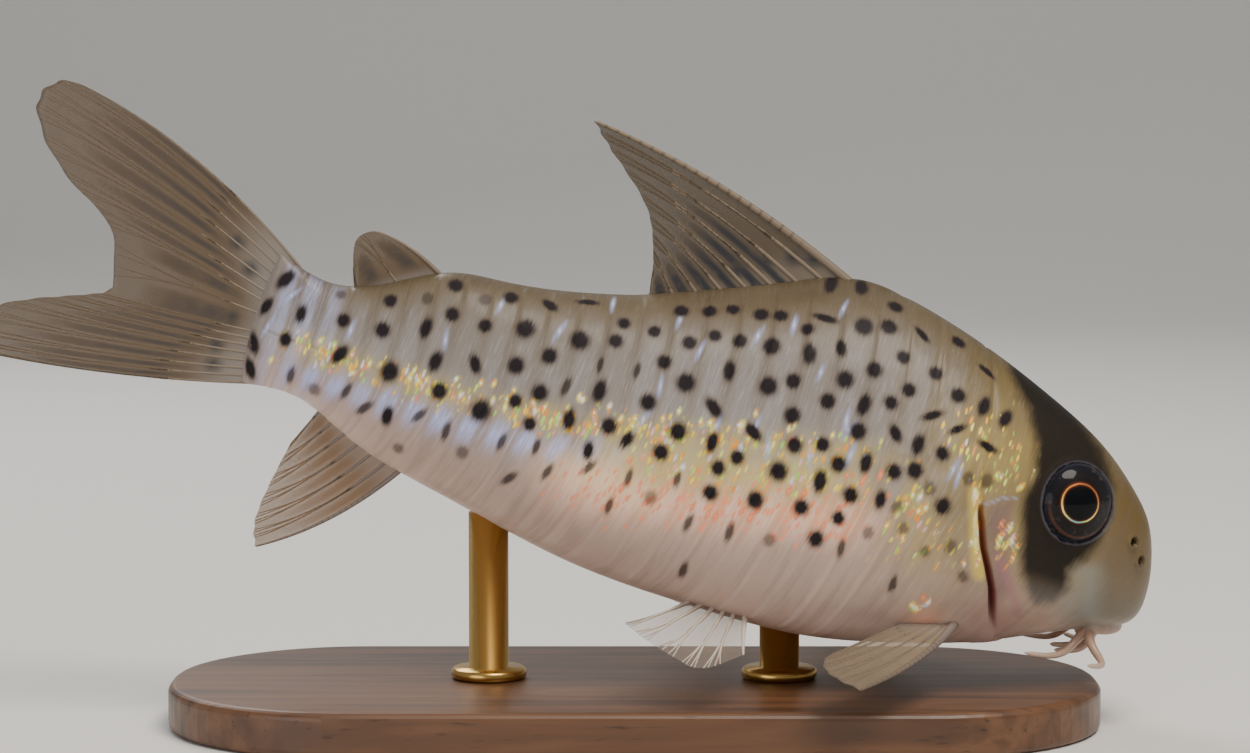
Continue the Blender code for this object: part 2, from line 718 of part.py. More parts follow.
def underside_at(x):
    """World height of the middle of the belly over a world x, both in millimetres."""
    along = np.linspace(*ROD_REACH, 561)
    world_x = SNOUT_X - along * math.cos(PITCH) + belly(along) * math.sin(PITCH)
    world_z = SNOUT_Z + along * math.sin(PITCH) + belly(along) * math.cos(PITCH)
    return np.interp(-x, -world_x, world_z)


def make_rod(name, along, collection, finish):
    """A rod from the base to just under the belly, its top sloped as the belly is."""
    x = SNOUT_X - along * math.cos(PITCH) + float(belly(along)) * math.sin(PITCH)
    foot = BASE_THICKNESS + GAP
    shape = bmesh.new()
    place = Matrix.Translation((x * MM, 0, (foot + 0.5) * MM))
    bmesh.ops.create_cone(
        shape, cap_ends=True, segments=ROD_SIDES, matrix=place,
        radius1=ROD_RADIUS * MM, radius2=ROD_RADIUS * MM, depth=MM,
    )
    for vertex in shape.verts:
        if vertex.co.z > (foot + 0.5) * MM:
            vertex.co.z = (underside_at(vertex.co.x / MM) - GAP / math.cos(PITCH)) * MM
    return link_shape(name, shape, collection, finish)


def main():
    clear_scene()
    parts = new_collection("corydoras_catfish")
    additions = new_collection("joined_forms")
    cutters = new_collection("cut_forms")
    finishes = {
        "skin": new_material("spotted_skin", (0.36, 0.29, 0.23), 0.35),
        "fin": new_material("clear_fin", (0.30, 0.25, 0.20), 0.4),
        "eye": new_material("dark_eye", (0.02, 0.02, 0.025), 0.1),
        "wood": new_material("oiled_walnut", (0.11, 0.06, 0.035), 0.45),
        "brass": new_material("brushed_brass", (0.71, 0.53, 0.25), 0.3, 1.0),
    }
    fish = bpy.data.objects.new("fish", None)
    parts.objects.link(fish)

    make_head(parts, additions, cutters, finishes)
    trunk_rings = shoulder_rings() + scute_rings(0, TRUNK_SCUTES)
    body_length("trunk", trunk_rings, parts, finishes["skin"])
    body_length("tail_stem", scute_rings(TRUNK_SCUTES, SCUTES), parts, finishes["skin"])
    eyeball("eye_right", 0, -1, parts, finishes["eye"])
    eyeball("eye_left", 0, 1, parts, finishes["eye"])
    make_barbels(parts, finishes["skin"])
    for name, fin in FINS.items():
        if name in PAIRED_FINS:
            make_fin(name + "_right", fin, parts, finishes["fin"])
            make_fin(name + "_left", fin, parts, finishes["fin"], mirrored=True)
        else:
            make_fin(name, fin, parts, finishes["fin"])
    for piece in parts.objects:
        if piece is not fish:
            piece.parent = fish
    fish.location = (SNOUT_X * MM, 0, SNOUT_Z * MM)
    fish.rotation_euler = (0, PITCH, 0)

    make_base(parts, finishes["wood"])
    for name, along in ROD_ALONGS.items():
        make_rod(name, along, parts, finishes["brass"])


main()
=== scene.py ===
# %% [markdown]
# A spotted armoured catfish, life size, nosing down over a small display stand.
# The solid model comes in first as a fixed frame. Every piece below is made in that frame, in
# metres, and takes the place of one or more of its plain parts.

# %% Load the frame
import math

import bmesh
import bpy
import numpy as np
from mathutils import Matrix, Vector
from mathutils.bvhtree import BVHTree


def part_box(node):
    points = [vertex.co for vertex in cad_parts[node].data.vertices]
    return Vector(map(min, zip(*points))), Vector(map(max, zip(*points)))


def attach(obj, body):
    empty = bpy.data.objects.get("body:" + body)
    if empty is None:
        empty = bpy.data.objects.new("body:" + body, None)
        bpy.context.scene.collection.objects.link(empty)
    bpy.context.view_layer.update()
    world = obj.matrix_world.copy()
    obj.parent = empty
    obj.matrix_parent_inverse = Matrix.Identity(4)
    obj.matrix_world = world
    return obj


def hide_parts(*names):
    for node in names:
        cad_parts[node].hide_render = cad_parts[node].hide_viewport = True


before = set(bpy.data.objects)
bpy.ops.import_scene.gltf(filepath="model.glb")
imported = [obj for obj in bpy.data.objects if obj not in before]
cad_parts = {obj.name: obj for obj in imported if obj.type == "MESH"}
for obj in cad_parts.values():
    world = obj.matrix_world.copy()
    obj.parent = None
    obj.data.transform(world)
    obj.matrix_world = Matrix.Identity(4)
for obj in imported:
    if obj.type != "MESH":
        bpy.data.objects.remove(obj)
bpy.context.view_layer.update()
MM = 0.001

# %% [markdown]
# The fish has a frame of its own, in millimetres: along runs from the snout to the tail, side is
# towards its left, and up is towards its back. Working there keeps the body straight and
# symmetric, and one function tips the finished points nose down. The other way round, modelling
# a tilted body, would mix the tilt into every measure.

# %% The fish's own frame
PITCH = math.radians(17.0)
SNOUT_X = 23.2
SNOUT_Z = 6.1


def to_world(points):
    """Rows of (along, side, up) in millimetres as points of the frame, in metres."""
    along, side, up = np.asarray(points, float).T
    x = SNOUT_X - along * math.cos(PITCH) + up * math.sin(PITCH)
    z = SNOUT_Z + along * math.sin(PITCH) + up * math.cos(PITCH)
    return np.column_stack([x, side, z]) * MM


def to_fish(points):
    """The same, backwards."""
    x, y, z = np.asarray(points, float).T / MM
    x, z = x - SNOUT_X, z - SNOUT_Z
    along = z * math.sin(PITCH) - x * math.cos(PITCH)
    up = z * math.cos(PITCH) + x * math.sin(PITCH)
    return np.column_stack([along, y, up])


def to_left(points):
    """Points of the right side, mirrored to the left."""
    return np.asarray(points, float) * np.array([1, -1, 1])


snout_low, snout_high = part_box("head")
print("snout tip", to_world([(0, 0, 0)])[0].round(4), "inside", snout_low, snout_high)

# %% [markdown]
# A fish's body is all curvature, so it is drawn the way a boat is: a few lines that say how high
# the back is, how low the belly is and how wide the body is at each distance from the snout.
# A natural cubic through a few knots gives each line. It runs on the square root of the
# distance, because that makes the snout round and not pointed.

# %% Smooth lines
def natural_cubic(places, values):
    """A smooth line through rows of values, one for each place, as a function of place."""
    places, values = np.array(places, float), np.array(values, float)
    steps = np.diff(places)
    slopes = np.diff(values, axis=0) / steps[:, None]
    matrix = np.eye(len(places))
    bending = np.zeros_like(values)
    for i in range(1, len(places) - 1):
        matrix[i, i - 1 : i + 2] = steps[i - 1], 2 * (steps[i - 1] + steps[i]), steps[i]
        bending[i] = 6 * (slopes[i] - slopes[i - 1])
    bends = np.linalg.solve(matrix, bending)

    def value_at(place):
        place = np.asarray(place, float)
        i = np.clip(np.searchsorted(places, place) - 1, 0, len(steps) - 1)
        step = steps[i][..., None]
        low = (place - places[i])[..., None]
        high = (places[i + 1] - place)[..., None]
        cubic = (bends[i] * high**3 + bends[i + 1] * low**3) / (6 * step)
        straight = (values[i] / step - bends[i] * step / 6) * high
        return cubic + straight + (values[i + 1] / step - bends[i + 1] * step / 6) * low

    return value_at


def body_line(*knots):
    """A smooth line through (along, value) knots, as a function of along."""
    line = natural_cubic([math.sqrt(along) for along, _ in knots], [[value] for _, value in knots])
    return lambda along: line(np.sqrt(np.clip(along, 0, None)))[..., 0]


back = body_line(
    (0, -0.55), (0.35, 1.5), (0.9, 2.8), (2.1, 4.18), (4.0, 5.65), (7.0, 7.1), (10.4, 8.37), (13.0, 9.1),
    (15.2, 9.4), (19.6, 8.05), (25.5, 6.08), (32.0, 4.77), (34.4, 4.42), (36.6, 3.3),
    (39.3, 2.45), (41.6, 3.0),
)
belly = body_line(
    (0, -0.55), (0.3, -1.55), (1.7, -2.3), (4.2, -3.3), (7.1, -4.55), (10.3, -5.5), (14.7, -6.45),
    (20.0, -6.65), (25.6, -6.4), (32.0, -5.2), (36.6, -3.95), (39.3, -2.9), (41.6, -3.0),
)
half_width = body_line(
    (0, 0), (0.6, 1.8), (1.9, 2.9), (4.5, 3.95), (8.0, 5.05), (11.5, 5.65), (16.0, 5.5),
    (24.0, 4.45), (32.0, 2.9), (38.6, 1.65), (41.6, 1.2),
)
widest_up = body_line((0, -0.55), (2.0, 0.2), (6.0, 0.2), (12.0, -1.2), (24.0, -0.9), (41.6, -0.35))
back_fullness = body_line((0, 2.2), (4.5, 3.2), (9.0, 2.4), (16.0, 1.85), (41.6, 2.1))
belly_fullness = body_line((0, 2.3), (4.5, 2.7), (12.0, 2.9), (24.0, 2.7), (34.0, 2.1), (41.6, 2.1))
seam_up = body_line(
    (0, -0.55), (2.0, 1.1), (5.0, 2.1), (10.5, 3.0), (21.5, 1.1), (30.5, -0.3), (41.6, -0.4)
)
print("deepest body", round(float(back(14.8) - belly(14.8)), 2), "mm")
print("widest body", round(2 * float(half_width(11.5)), 2), "mm")

# %% [markdown]
# Across, the body is a superellipse: two halves, above and below its widest height, each with
# its own fullness. A turn is a place round it, measured along the skin: 0 on the back, a half on
# the seam between the two rows of bony plates, 1 under the belly.

# %% Places on the skin
SECTION_SAMPLES = 385
SEAM = 0.5


def skin_points(along, turn):
    """Points on the bare right side, one for each pair of along and turn."""
    along, turn = np.broadcast_arrays(np.asarray(along, float), np.asarray(turn, float))
    angle = np.linspace(math.pi / 2, -math.pi / 2, SECTION_SAMPLES)
    middle = widest_up(along)[:, None]
    height = np.where(angle > 0, back(along)[:, None] - middle, middle - belly(along)[:, None])
    fullness = np.where(angle > 0, back_fullness(along)[:, None], belly_fullness(along)[:, None])
    height = np.maximum(height, 1e-6)
    width = np.maximum(half_width(along), 1e-6)[:, None]
    spread = np.abs(np.cos(angle) / width) ** fullness + np.abs(np.sin(angle) / height) ** fullness
    reach = spread ** (-1 / fullness)
    side, up = reach * np.cos(angle), middle + reach * np.sin(angle)
    run = np.cumsum(np.hypot(np.diff(side), np.diff(up)), axis=1)
    run = np.concatenate([np.zeros((len(along), 1)), run], axis=1)
    seam = seam_up(along)
    points = np.zeros((len(along), 3))
    for i, place in enumerate(turn):
        at_seam = np.interp(-seam[i], -up[i], run[i])
        above_seam = min(place, SEAM) / SEAM
        below_seam = max(place - SEAM, 0) / (1 - SEAM)
        distance = above_seam * at_seam + below_seam * (run[i, -1] - at_seam)
        points[i] = along[i], -np.interp(distance, run[i], side[i]), np.interp(distance, run[i], up[i])
    points[(turn <= 0) | (turn >= 1), 1] = 0
    return points


def skin_normals(along, turn):
    """Outward directions of the bare right side, for the same pairs."""
    along, turn = np.broadcast_arrays(np.asarray(along, float), np.asarray(turn, float))
    low, high = np.clip(turn - 0.004, 0, 1), np.clip(turn + 0.004, 0, 1)
    round_body = skin_points(along, high) - skin_points(along, low)
    down_body = skin_points(along + 0.02, turn) - skin_points(np.maximum(along - 0.02, 0), turn)
    normals = np.cross(round_body, down_body)
    return normals / np.maximum(np.linalg.norm(normals, axis=1), 1e-9)[:, None]


def raised_skin(along, turn, lift):
    """Points that stand a lift in millimetres above the bare right side."""
    return skin_points(along, turn) + skin_normals(along, turn) * lift


def side_at(along, up):
    """How far the right side of the bare body is from the middle plane."""
    middle = widest_up(along)
    above = up > middle
    height = np.maximum(np.where(above, back(along) - middle, middle - belly(along)), 1e-6)
    fullness = np.where(above, back_fullness(along), belly_fullness(along))
    share = np.clip(np.abs(up - middle) / height, 0, 1)
    return -half_width(along) * (1 - share**fullness) ** (1 / fullness)


def under_at(along, side):
    """The up of the underside of the bare body at a distance from the middle plane."""
    share = np.clip(np.abs(side) / half_width(along), 0, 1)
    fullness = belly_fullness(along)
    return widest_up(along) - (widest_up(along) - belly(along)) * (1 - share**fullness) ** (1 / fullness)


def head_frame(along, up):
    """A place on the right side of the head with its outward, tailward and upward directions."""
    small = 0.3
    tailwards = float(side_at(along + small, up) - side_at(along - small, up)) / (2 * small)
    upwards = float(side_at(along, up + small) - side_at(along, up - small)) / (2 * small)
    outward = np.array([tailwards, -1, upwards])
    outward /= np.linalg.norm(outward)
    tailward = np.array([1, tailwards, 0])
    tailward /= np.linalg.norm(tailward)
    centre = np.array([along, float(side_at(along, up)), up])
    return centre, outward, tailward, np.cross(outward, tailward)


print("on the seam at 20 mm:", skin_points([20.0], [SEAM])[0].round(2))

# %% [markdown]
# The camera comes before the skin, because the marks on the near side are placed by where the
# photograph shows them: a line from the camera through a spot meets the skin at one place, and
# the mark is then kept in the fish's own millimetres. The view is level with the fish, turned
# down five degrees, through a lens long enough to be almost flat.

# %% Camera
PHOTO_SIZE = (1250, 753)
PIXEL = 0.045
VIEW_CENTRE = Vector((-0.425, 0, 15.7)) * MM
VIEW_DOWN = math.radians(5.0)
LENS = 100.0
SENSOR = 36.0

view_distance = PHOTO_SIZE[0] * PIXEL * MM * LENS / SENSOR
view_back = Vector((0, -math.cos(VIEW_DOWN), math.sin(VIEW_DOWN)))
view_up = Vector((0, math.sin(VIEW_DOWN), math.cos(VIEW_DOWN)))
camera_data = bpy.data.cameras.new("photo_view")
camera_data.lens = LENS
camera_data.sensor_width = SENSOR
camera_data.clip_start = 0.005
camera = bpy.data.objects.new("photo_view", camera_data)
camera.location = VIEW_CENTRE + view_back * view_distance
camera.rotation_euler = (math.pi / 2 - VIEW_DOWN, 0, 0)
bpy.context.scene.collection.objects.link(camera)
bpy.context.scene.camera = camera


def line_of_sight(x, y):
    """Start and direction of the line from the camera through a pixel of the photograph."""
    right = (x - PHOTO_SIZE[0] / 2) * PIXEL * MM
    rise = (PHOTO_SIZE[1] / 2 - y) * PIXEL * MM
    through = VIEW_CENTRE + Vector((right, 0, 0)) + view_up * rise
    return camera.location, (through - camera.location).normalized()


print("camera", [round(v, 4) for v in camera.location], "lens", LENS)

# %% [markdown]
# The skin is one grid wrapped round those sections, from the snout to the root of the tail fin.
# Its rows follow the front edges of the bony plates, which lie in chevrons with their points
# forward on the seam, so every plate gets the same rows and its free rear edge is a clean step.
# A sculpted mesh would look as good but could not keep the plates evenly spaced.

# %% Rows of the skin
# Along of the rear edge of the gill cover, by turn, carried up to the nape and down to the throat.
HEAD_END = (
    (0, 10.3), (0.5, 9.15), (0.56, 8.9), (0.62, 8.35), (0.66, 7.83), (0.7, 7.38), (0.76, 6.95), (1, 5.0),
)
SHOULDER_AT_SEAM = 10.5
STEM_END = 41.6
SCUTES = 23
SCUTE_CROWDING = 0.16
SCUTE_SWEEP_BACK = 0.7
SCUTE_SWEEP_BELLY = 3.6
SCUTE_BEND = 1.3
HALF_AROUND = 120
HEAD_ROWS = 132
HEAD_CROWDING = 1.5
HEAD_PITCH = 1.3
GILL_OFFSETS = (-0.12, -0.07, -0.03, 0.0, 0.04, 0.09, 0.16, 0.25)
SHOULDER_ROWS = 14
SCUTE_SHARES = (0.0, 0.1, 0.22, 0.36, 0.5, 0.64, 0.78, 0.86, 0.91, 0.96)
TAIL_ROWS = (0.0, 0.1, 0.2, 0.3, 0.38, 0.44, 0.48)
TAIL_ROUNDING = 0.75
TAIL_THIN_FROM = 38.6
TAIL_THINNING = 0.55
TAIL_PINCH = 0.8


def head_end(turn):
    """Where the head stops."""
    return np.interp(turn, *zip(*HEAD_END))


def scute_edge(number, turn):
    """Along of the front edge of a plate, by its number, which may lie between two plates."""
    share = number / SCUTES
    crowded = share + SCUTE_CROWDING * share * (1 - share)
    at_seam = SHOULDER_AT_SEAM + (STEM_END - SHOULDER_AT_SEAM) * crowded
    above = np.clip(SEAM - turn, 0, None) / SEAM
    below = np.clip(turn - SEAM, 0, None) / (1 - SEAM)
    sweep = SCUTE_SWEEP_BACK * above**SCUTE_BEND + SCUTE_SWEEP_BELLY * below**SCUTE_BEND
    return at_seam + sweep * (1 - share) ** 0.8


turns = np.linspace(0, 1, HALF_AROUND + 1)
before_gill = head_end(turns) + 1.5 * GILL_OFFSETS[0]
row_alongs = [(step / HEAD_ROWS) ** HEAD_CROWDING * before_gill for step in range(1, HEAD_ROWS + 1)]
row_alongs += [head_end(turns) + offset for offset in GILL_OFFSETS]
front, rear = row_alongs[-1], scute_edge(0, turns)
row_alongs += [front + step / SHOULDER_ROWS * (rear - front) for step in range(1, SHOULDER_ROWS)]
row_numbers = [(along - rear) / HEAD_PITCH for along in row_alongs]
for number in range(SCUTES):
    front, rear = scute_edge(number, turns), scute_edge(number + 1, turns)
    for share in SCUTE_SHARES:
        row_alongs.append(front + share * (rear - front))
        row_numbers.append(np.full(len(turns), number + share))
for past in TAIL_ROWS:
    off_middle = np.abs(turns - SEAM) / SEAM
    row_alongs.append(STEM_END + past * (1 - TAIL_ROUNDING * off_middle**2))
    row_numbers.append(np.full(len(turns), SCUTES + past))
row_alongs, row_numbers = np.array(row_alongs), np.array(row_numbers)
half_grid = np.array([skin_points(row, turns) for row in row_alongs])
past_stem = np.zeros((len(row_alongs), 1))
past_stem[-len(TAIL_ROWS) :, 0] = np.array(TAIL_ROWS) / TAIL_ROWS[-1]
thinned = np.clip((row_alongs - TAIL_THIN_FROM) / (STEM_END - TAIL_THIN_FROM), 0, 1) ** 2
half_grid[:, :, 1] *= (1 - TAIL_THINNING * thinned) * (1 - TAIL_PINCH * past_stem**2)


def whole(half):
    """A table of the right half, carried round the left side too."""
    return np.concatenate([half, half[:, -2:0:-1]], axis=1)


grid = whole(half_grid)
grid[:, HALF_AROUND + 1 :, 1] *= -1
grid_turn = whole(np.broadcast_to(turns, row_alongs.shape))
grid_along, grid_number = whole(row_alongs), whole(row_numbers)
print("skin grid:", grid.shape[0], "rows of", grid.shape[1], "points")

# %% [markdown]
# Relief is a height at each point of that grid, laid along the outward direction. The plates of
# an armoured catfish overlap like roof tiles, so the height climbs slowly along a plate and
# drops at its rear edge. The gill cover stands a little proud, and behind it the gill opening is
# a narrow trench. On the underside of the snout two lips close on a slit, with a fleshy knob at
# each corner of the mouth that carries the barbels.

# %% Relief of plates, gill cover and mouth
SCUTE_LIFT = 0.065
SEAM_HALF = 0.018
BARE_BACK = 0.1
BARE_BELLY = 0.86
GILL_COVER_LIFT = 0.2
GILL_DEPTH = 0.34
GILL_TURNS = (0.52, 0.82)
NAPE_GROOVE_DEPTH = 0.06
SHOULDER_PLATE_LIFT = 0.12
MOUTH_HALF_WIDTH = 1.5
UPPER_LIP_FRONT = 0.95
LOWER_LIP_FRONT = 1.75
MOUTH_CORNER = 2.2
LIP_RADIUS = 0.36
LOBE_RADIUS = 0.42
SLIT_DEPTH = 0.3
SLIT_HALF_WIDTH = 0.09
# Height of the low crest at the foot of the dorsal fin, by along.
CREST = ((14.6, 0), (16.4, 0.35), (18.0, 0.5), (20.0, 0.42), (23.0, 0.25), (26.0, 0))
CREST_HALF_WIDTH = 0.6


def smooth(value, low, high):
    """0 below low and 1 above high, with soft ends. low may be the higher one."""
    share = np.clip((value - low) / (high - low), 0, 1)
    return share * share * (3 - 2 * share)


def window(value, low, full, fading, high):
    """0 below low, 1 from full to fading and 0 above high, with soft ends."""
    return smooth(value, low, full) * (1 - smooth(value, fading, high))


def bump(distance, width):
    """A soft ridge, 1 in its middle."""
    return np.exp(-((distance / width) ** 2))


def mouth_arc(front):
    """Points of an arc under the snout, from one corner of the mouth to the other."""
    across = np.linspace(-1, 1, 61)
    sides = MOUTH_HALF_WIDTH * across
    alongs = front + (MOUTH_CORNER - front) * across**2
    return np.column_stack([alongs, sides, under_at(alongs, sides)])


def distance_to(points, line):
    """The distance in millimetres from each point to the nearest of a few others."""
    flat = points.reshape(-1, 3)
    nearest = np.full(len(flat), np.inf)
    for knot in np.atleast_2d(line):
        nearest = np.minimum(nearest, np.linalg.norm(flat - knot, axis=1))
    return nearest.reshape(points.shape[:-1])


on_scutes = (grid_number >= 0) & (grid_number < SCUTES)
scute_phase = np.where(on_scutes, grid_number % 1, 0)
tile = np.where(scute_phase < 0.9, (scute_phase / 0.9) ** 0.8, 1 - (scute_phase - 0.9) / 0.1)
bare_belly = BARE_BELLY + 0.12 * smooth(grid_number, 13, 17)
plated = smooth(grid_turn, 0.1 * BARE_BACK, BARE_BACK) * on_scutes
plated *= 1 - smooth(grid_turn, bare_belly - 0.02, bare_belly + 0.03)
off_seam = smooth(np.abs(grid_turn - SEAM), 0, SEAM_HALF)
relief = SCUTE_LIFT * (1 - 0.5 * grid_number / SCUTES) * tile * plated * off_seam

past_gill = grid_along - head_end(grid_turn)
gill_open = window(grid_turn, GILL_TURNS[0], GILL_TURNS[0] + 0.05, GILL_TURNS[1] - 0.1, GILL_TURNS[1])
relief += GILL_COVER_LIFT * window(past_gill, -3.2, -1.4, -0.07, 0.0) * gill_open
relief -= GILL_DEPTH * bump(past_gill - 0.07, 0.09) * gill_open
nape_groove = 1 - smooth(grid_turn, GILL_TURNS[0], GILL_TURNS[0] + 0.06)
relief -= NAPE_GROOVE_DEPTH * bump(past_gill, 0.12) * nape_groove
shoulder_plate = window(past_gill, 0.12, 0.3, 1.1, 1.5) * window(grid_turn, 0.42, 0.5, 0.86, 0.95)
relief += SHOULDER_PLATE_LIFT * shoulder_plate
relief += np.interp(grid_along, *zip(*CREST)) * bump(grid[:, :, 1], CREST_HALF_WIDTH) * (grid_turn < 0.3)

near_mouth = (grid_along < 4.0) & (grid[:, :, 2] < -0.5)
mouth_points = grid[near_mouth]
lips = np.zeros(near_mouth.sum())
for front in (UPPER_LIP_FRONT, LOWER_LIP_FRONT):
    from_lip = distance_to(mouth_points, mouth_arc(front))
    lips = np.maximum(lips, np.sqrt(np.clip(LIP_RADIUS**2 - from_lip**2, 0, None)))
corner_sides = (-MOUTH_HALF_WIDTH, MOUTH_HALF_WIDTH)
corners = np.array([(MOUTH_CORNER, side, float(under_at(MOUTH_CORNER, side))) for side in corner_sides])
lobes = np.sqrt(np.clip(LOBE_RADIUS**2 - distance_to(mouth_points, corners) ** 2, 0, None))
slit = distance_to(mouth_points, mouth_arc(0.5 * (UPPER_LIP_FRONT + LOWER_LIP_FRONT)))
relief[near_mouth] += np.maximum(lips, lobes) - SLIT_DEPTH * bump(slit, SLIT_HALF_WIDTH)
lip_share = np.zeros(grid.shape[:2])
lip_share[near_mouth] = smooth(np.maximum(lips, lobes), 0.05, 0.3)
print("relief from", round(relief.min(), 2), "to", round(relief.max(), 2), "mm")

# %% [markdown]
# Eyes and nostrils are worked on in a small frame of their own, with one axis straight out of
# the head. The skin rises in a low rim round the eye and then turns down into a cup. The cup's
# mouth is a little narrower than the eyeball, so the ball sits as deep as a real one and no gap
# shows round it. The same few lines make the two nostrils on each side, a small ring with a pit.

# %% Eye sockets and nostrils
EYE_ALONG = 4.78
EYE_UP = 3.08
EYE_RADIUS = 1.78
EYE_DEPTH = 0.95
EYE_BULGE = 0.6
SOCKET_RADIUS = 1.72
CUP_MARGIN = 0.04
ORBIT_RADIUS = 1.85
ORBIT_RIM = 0.08
NOSTRILS = ((1.15, 1.3), (1.75, 2.05))
NOSTRIL_RADIUS = 0.26
# A distance in millimetres past the reach of every rim, pit and line.
FAR = 9.0


def unit(vectors):
    """The same directions, one long."""
    return vectors / np.maximum(np.linalg.norm(vectors, axis=-1), 1e-12)[..., None]


tail_step = np.gradient(grid, axis=0)
round_step = np.roll(grid, -1, axis=1) - np.roll(grid, 1, axis=1)
normals = unit(np.cross(round_step, tail_step))
skin = grid + normals * relief[..., None]

orbit = np.full(grid.shape[:2], FAR)
nostril_pit_shade = np.zeros(grid.shape[:2])
for sign in (-1, 1):
    flip = np.array([1, -sign, 1])
    near_side = grid[:, :, 1] * sign > 0
    centre, outward, tailward, upward = (part * flip for part in head_frame(EYE_ALONG, EYE_UP))
    offset = skin - centre
    depth = offset @ outward
    ring = np.where(near_side, np.linalg.norm(offset - depth[..., None] * outward, axis=-1), FAR)
    orbit = np.minimum(orbit, ring)
    skin = skin + (ORBIT_RIM * bump(ring - ORBIT_RADIUS, 0.14))[..., None] * outward
    cup = -(EYE_DEPTH - EYE_BULGE) - (EYE_DEPTH + CUP_MARGIN) * np.sqrt(
        np.clip(1 - (ring / SOCKET_RADIUS) ** 2, 0, None)
    )
    inside = ring < SOCKET_RADIUS
    drop = np.where(inside, np.minimum(cup - (skin - centre) @ outward, 0), 0)
    skin = skin + drop[..., None] * outward
    for along, up in NOSTRILS:
        centre, outward, tailward, upward = (part * flip for part in head_frame(along, up))
        offset = grid - centre
        depth = offset @ outward
        ring = np.where(near_side, np.linalg.norm(offset - depth[..., None] * outward, axis=-1), FAR)
        height = 0.15 * bump(ring - NOSTRIL_RADIUS, 0.075) - 0.45 * (1 - smooth(ring, 0.1, 0.23))
        skin = skin + height[..., None] * outward
        # How far inside a nostril's pit a point is, kept for the painted shade there.
        nostril_pit_shade = np.maximum(nostril_pit_shade, 1 - smooth(ring, 0.16, 0.24))
print("eye cup", round(EYE_DEPTH - EYE_BULGE + EYE_DEPTH + CUP_MARGIN, 2), "mm deep at its middle")

# %% [markdown]
# The pattern is painted by functions, as numbers kept at each point of the skin: how far a
# point is from the nearest spot, how far inside the dark mask over the eye, how silvery or
# glittering its place is. A distance blends well between points, so a spot keeps a clean edge
# on a fairly open mesh, where a painted colour would blur. The shader turns them into colours.
# A third number, where a mark has one, is how its length slopes in the view, in degrees.

# %% Dark spots
SPOTS_SEEN = {
    "round": (
        (681, 312), (709, 312), (734, 310), (761, 314), (781, 316), (808, 329), (863, 290), (897, 307),
        (957, 343), (626, 324), (617, 342), (655, 331), (690, 343), (713, 336), (741, 342), (875, 369),
        (904, 357), (935, 373), (664, 362), (794, 380), (827, 402), (890, 402), (911, 391), (647, 401),
        (793, 416), (792, 447), (823, 445), (944, 455), (895, 470), (837, 464), (720, 469), (736, 456),
        (659, 453), (711, 492), (756, 499), (801, 506), (851, 495), (837, 520), (815, 539), (485, 326),
        (513, 298), (390, 301), (453, 315), (383, 331), (286, 339), (548, 356), (439, 391), (530, 423),
        (343, 321), (958, 395), (916, 470), (608, 427), (942, 505), (516, 401), (540, 393), (785, 289),
    ),
    "big": (
        (863, 327), (890, 329), (581, 341), (771, 347), (686, 383), (768, 386), (858, 433), (777, 470),
        (456, 286), (526, 330), (518, 366), (481, 411), (389, 372), (845, 380), (678, 431),
    ),
    "tall": (
        (811, 356), (842, 349), (728, 370), (864, 405), (601, 391), (712, 409, 20), (753, 432, 29),
        (712, 442), (895, 433, 14), (920, 444), (866, 462), (818, 481), (881, 502), (425, 327),
        (474, 365, 12), (437, 362), (341, 354, -45), (568, 419), (587, 450), (626, 438, -45), (984, 406),
        (1006, 420), (267, 306, -35), (550, 305, 30), (388, 416), (250, 368, 10), (303, 314),
        (285, 279, -35), (787, 289, -30), (830, 290), (863, 291), (253, 343, 15),
    ),
    "thin": (
        (600, 365), (636, 370), (566, 386), (587, 466), (628, 477), (677, 477), (731, 533), (689, 523),
        (608, 507), (841, 550), (535, 447), (503, 443), (548, 473), (445, 430), (364, 407), (345, 391),
        (291, 376), (418, 416), (685, 570), (891, 584), (509, 479),
    ),
    "faint": (
        (830, 290), (770, 539), (651, 499), (866, 533), (925, 553), (903, 528), (949, 545), (964, 575),
        (463, 452), (987, 480), (929, 487), (898, 505), (313, 389), (485, 299), (967, 480), (427, 299),
        (268, 267), (250, 269), (398, 448), (250, 343), (342, 295),
    ),
    "dash": (
        (588, 303, -20), (825, 318, -39), (924, 335, -55), (932, 416, 15), (958, 429, 25), (988, 446, -25),
        (987, 371, -38),
    ),
}
# Half lengths in millimetres along the body and round it, how dark the spot is, and its lean.
SPOT_SHAPES = {
    "round": (0.33, 0.36, 1.0, 0), "big": (0.41, 0.45, 1.0, 0), "tall": (0.27, 0.5, 1.0, 0),
    "thin": (0.16, 0.44, 0.8, -15), "faint": (0.26, 0.3, 0.55, -10), "dash": (0.52, 0.2, 1.0, 0),
}
MARK_DEPTH = 0.7
MARK_REACH = 2.0
MARK_LIMIT = 3.0
LEAN_SPREAD = 9.0
LEFT_JITTER = 0.33
LEFT_KEPT = 0.93

flat_grid = grid.reshape(-1, 3)
rows, columns = grid.shape[:2]
quads = []
for row in range(rows - 1):
    first = row * columns + np.arange(columns)
    following = row * columns + np.roll(np.arange(columns), -1)
    quads.append(np.column_stack([first, following, following + columns, first + columns]))
quads = np.concatenate(quads)
sight_tree = BVHTree.FromPolygons(to_world(flat_grid).tolist(), quads.tolist())

tail_ways = unit(np.gradient(grid, axis=0)).reshape(-1, 3)
out_ways = normals.reshape(-1, 3)
random = np.random.default_rng(7)


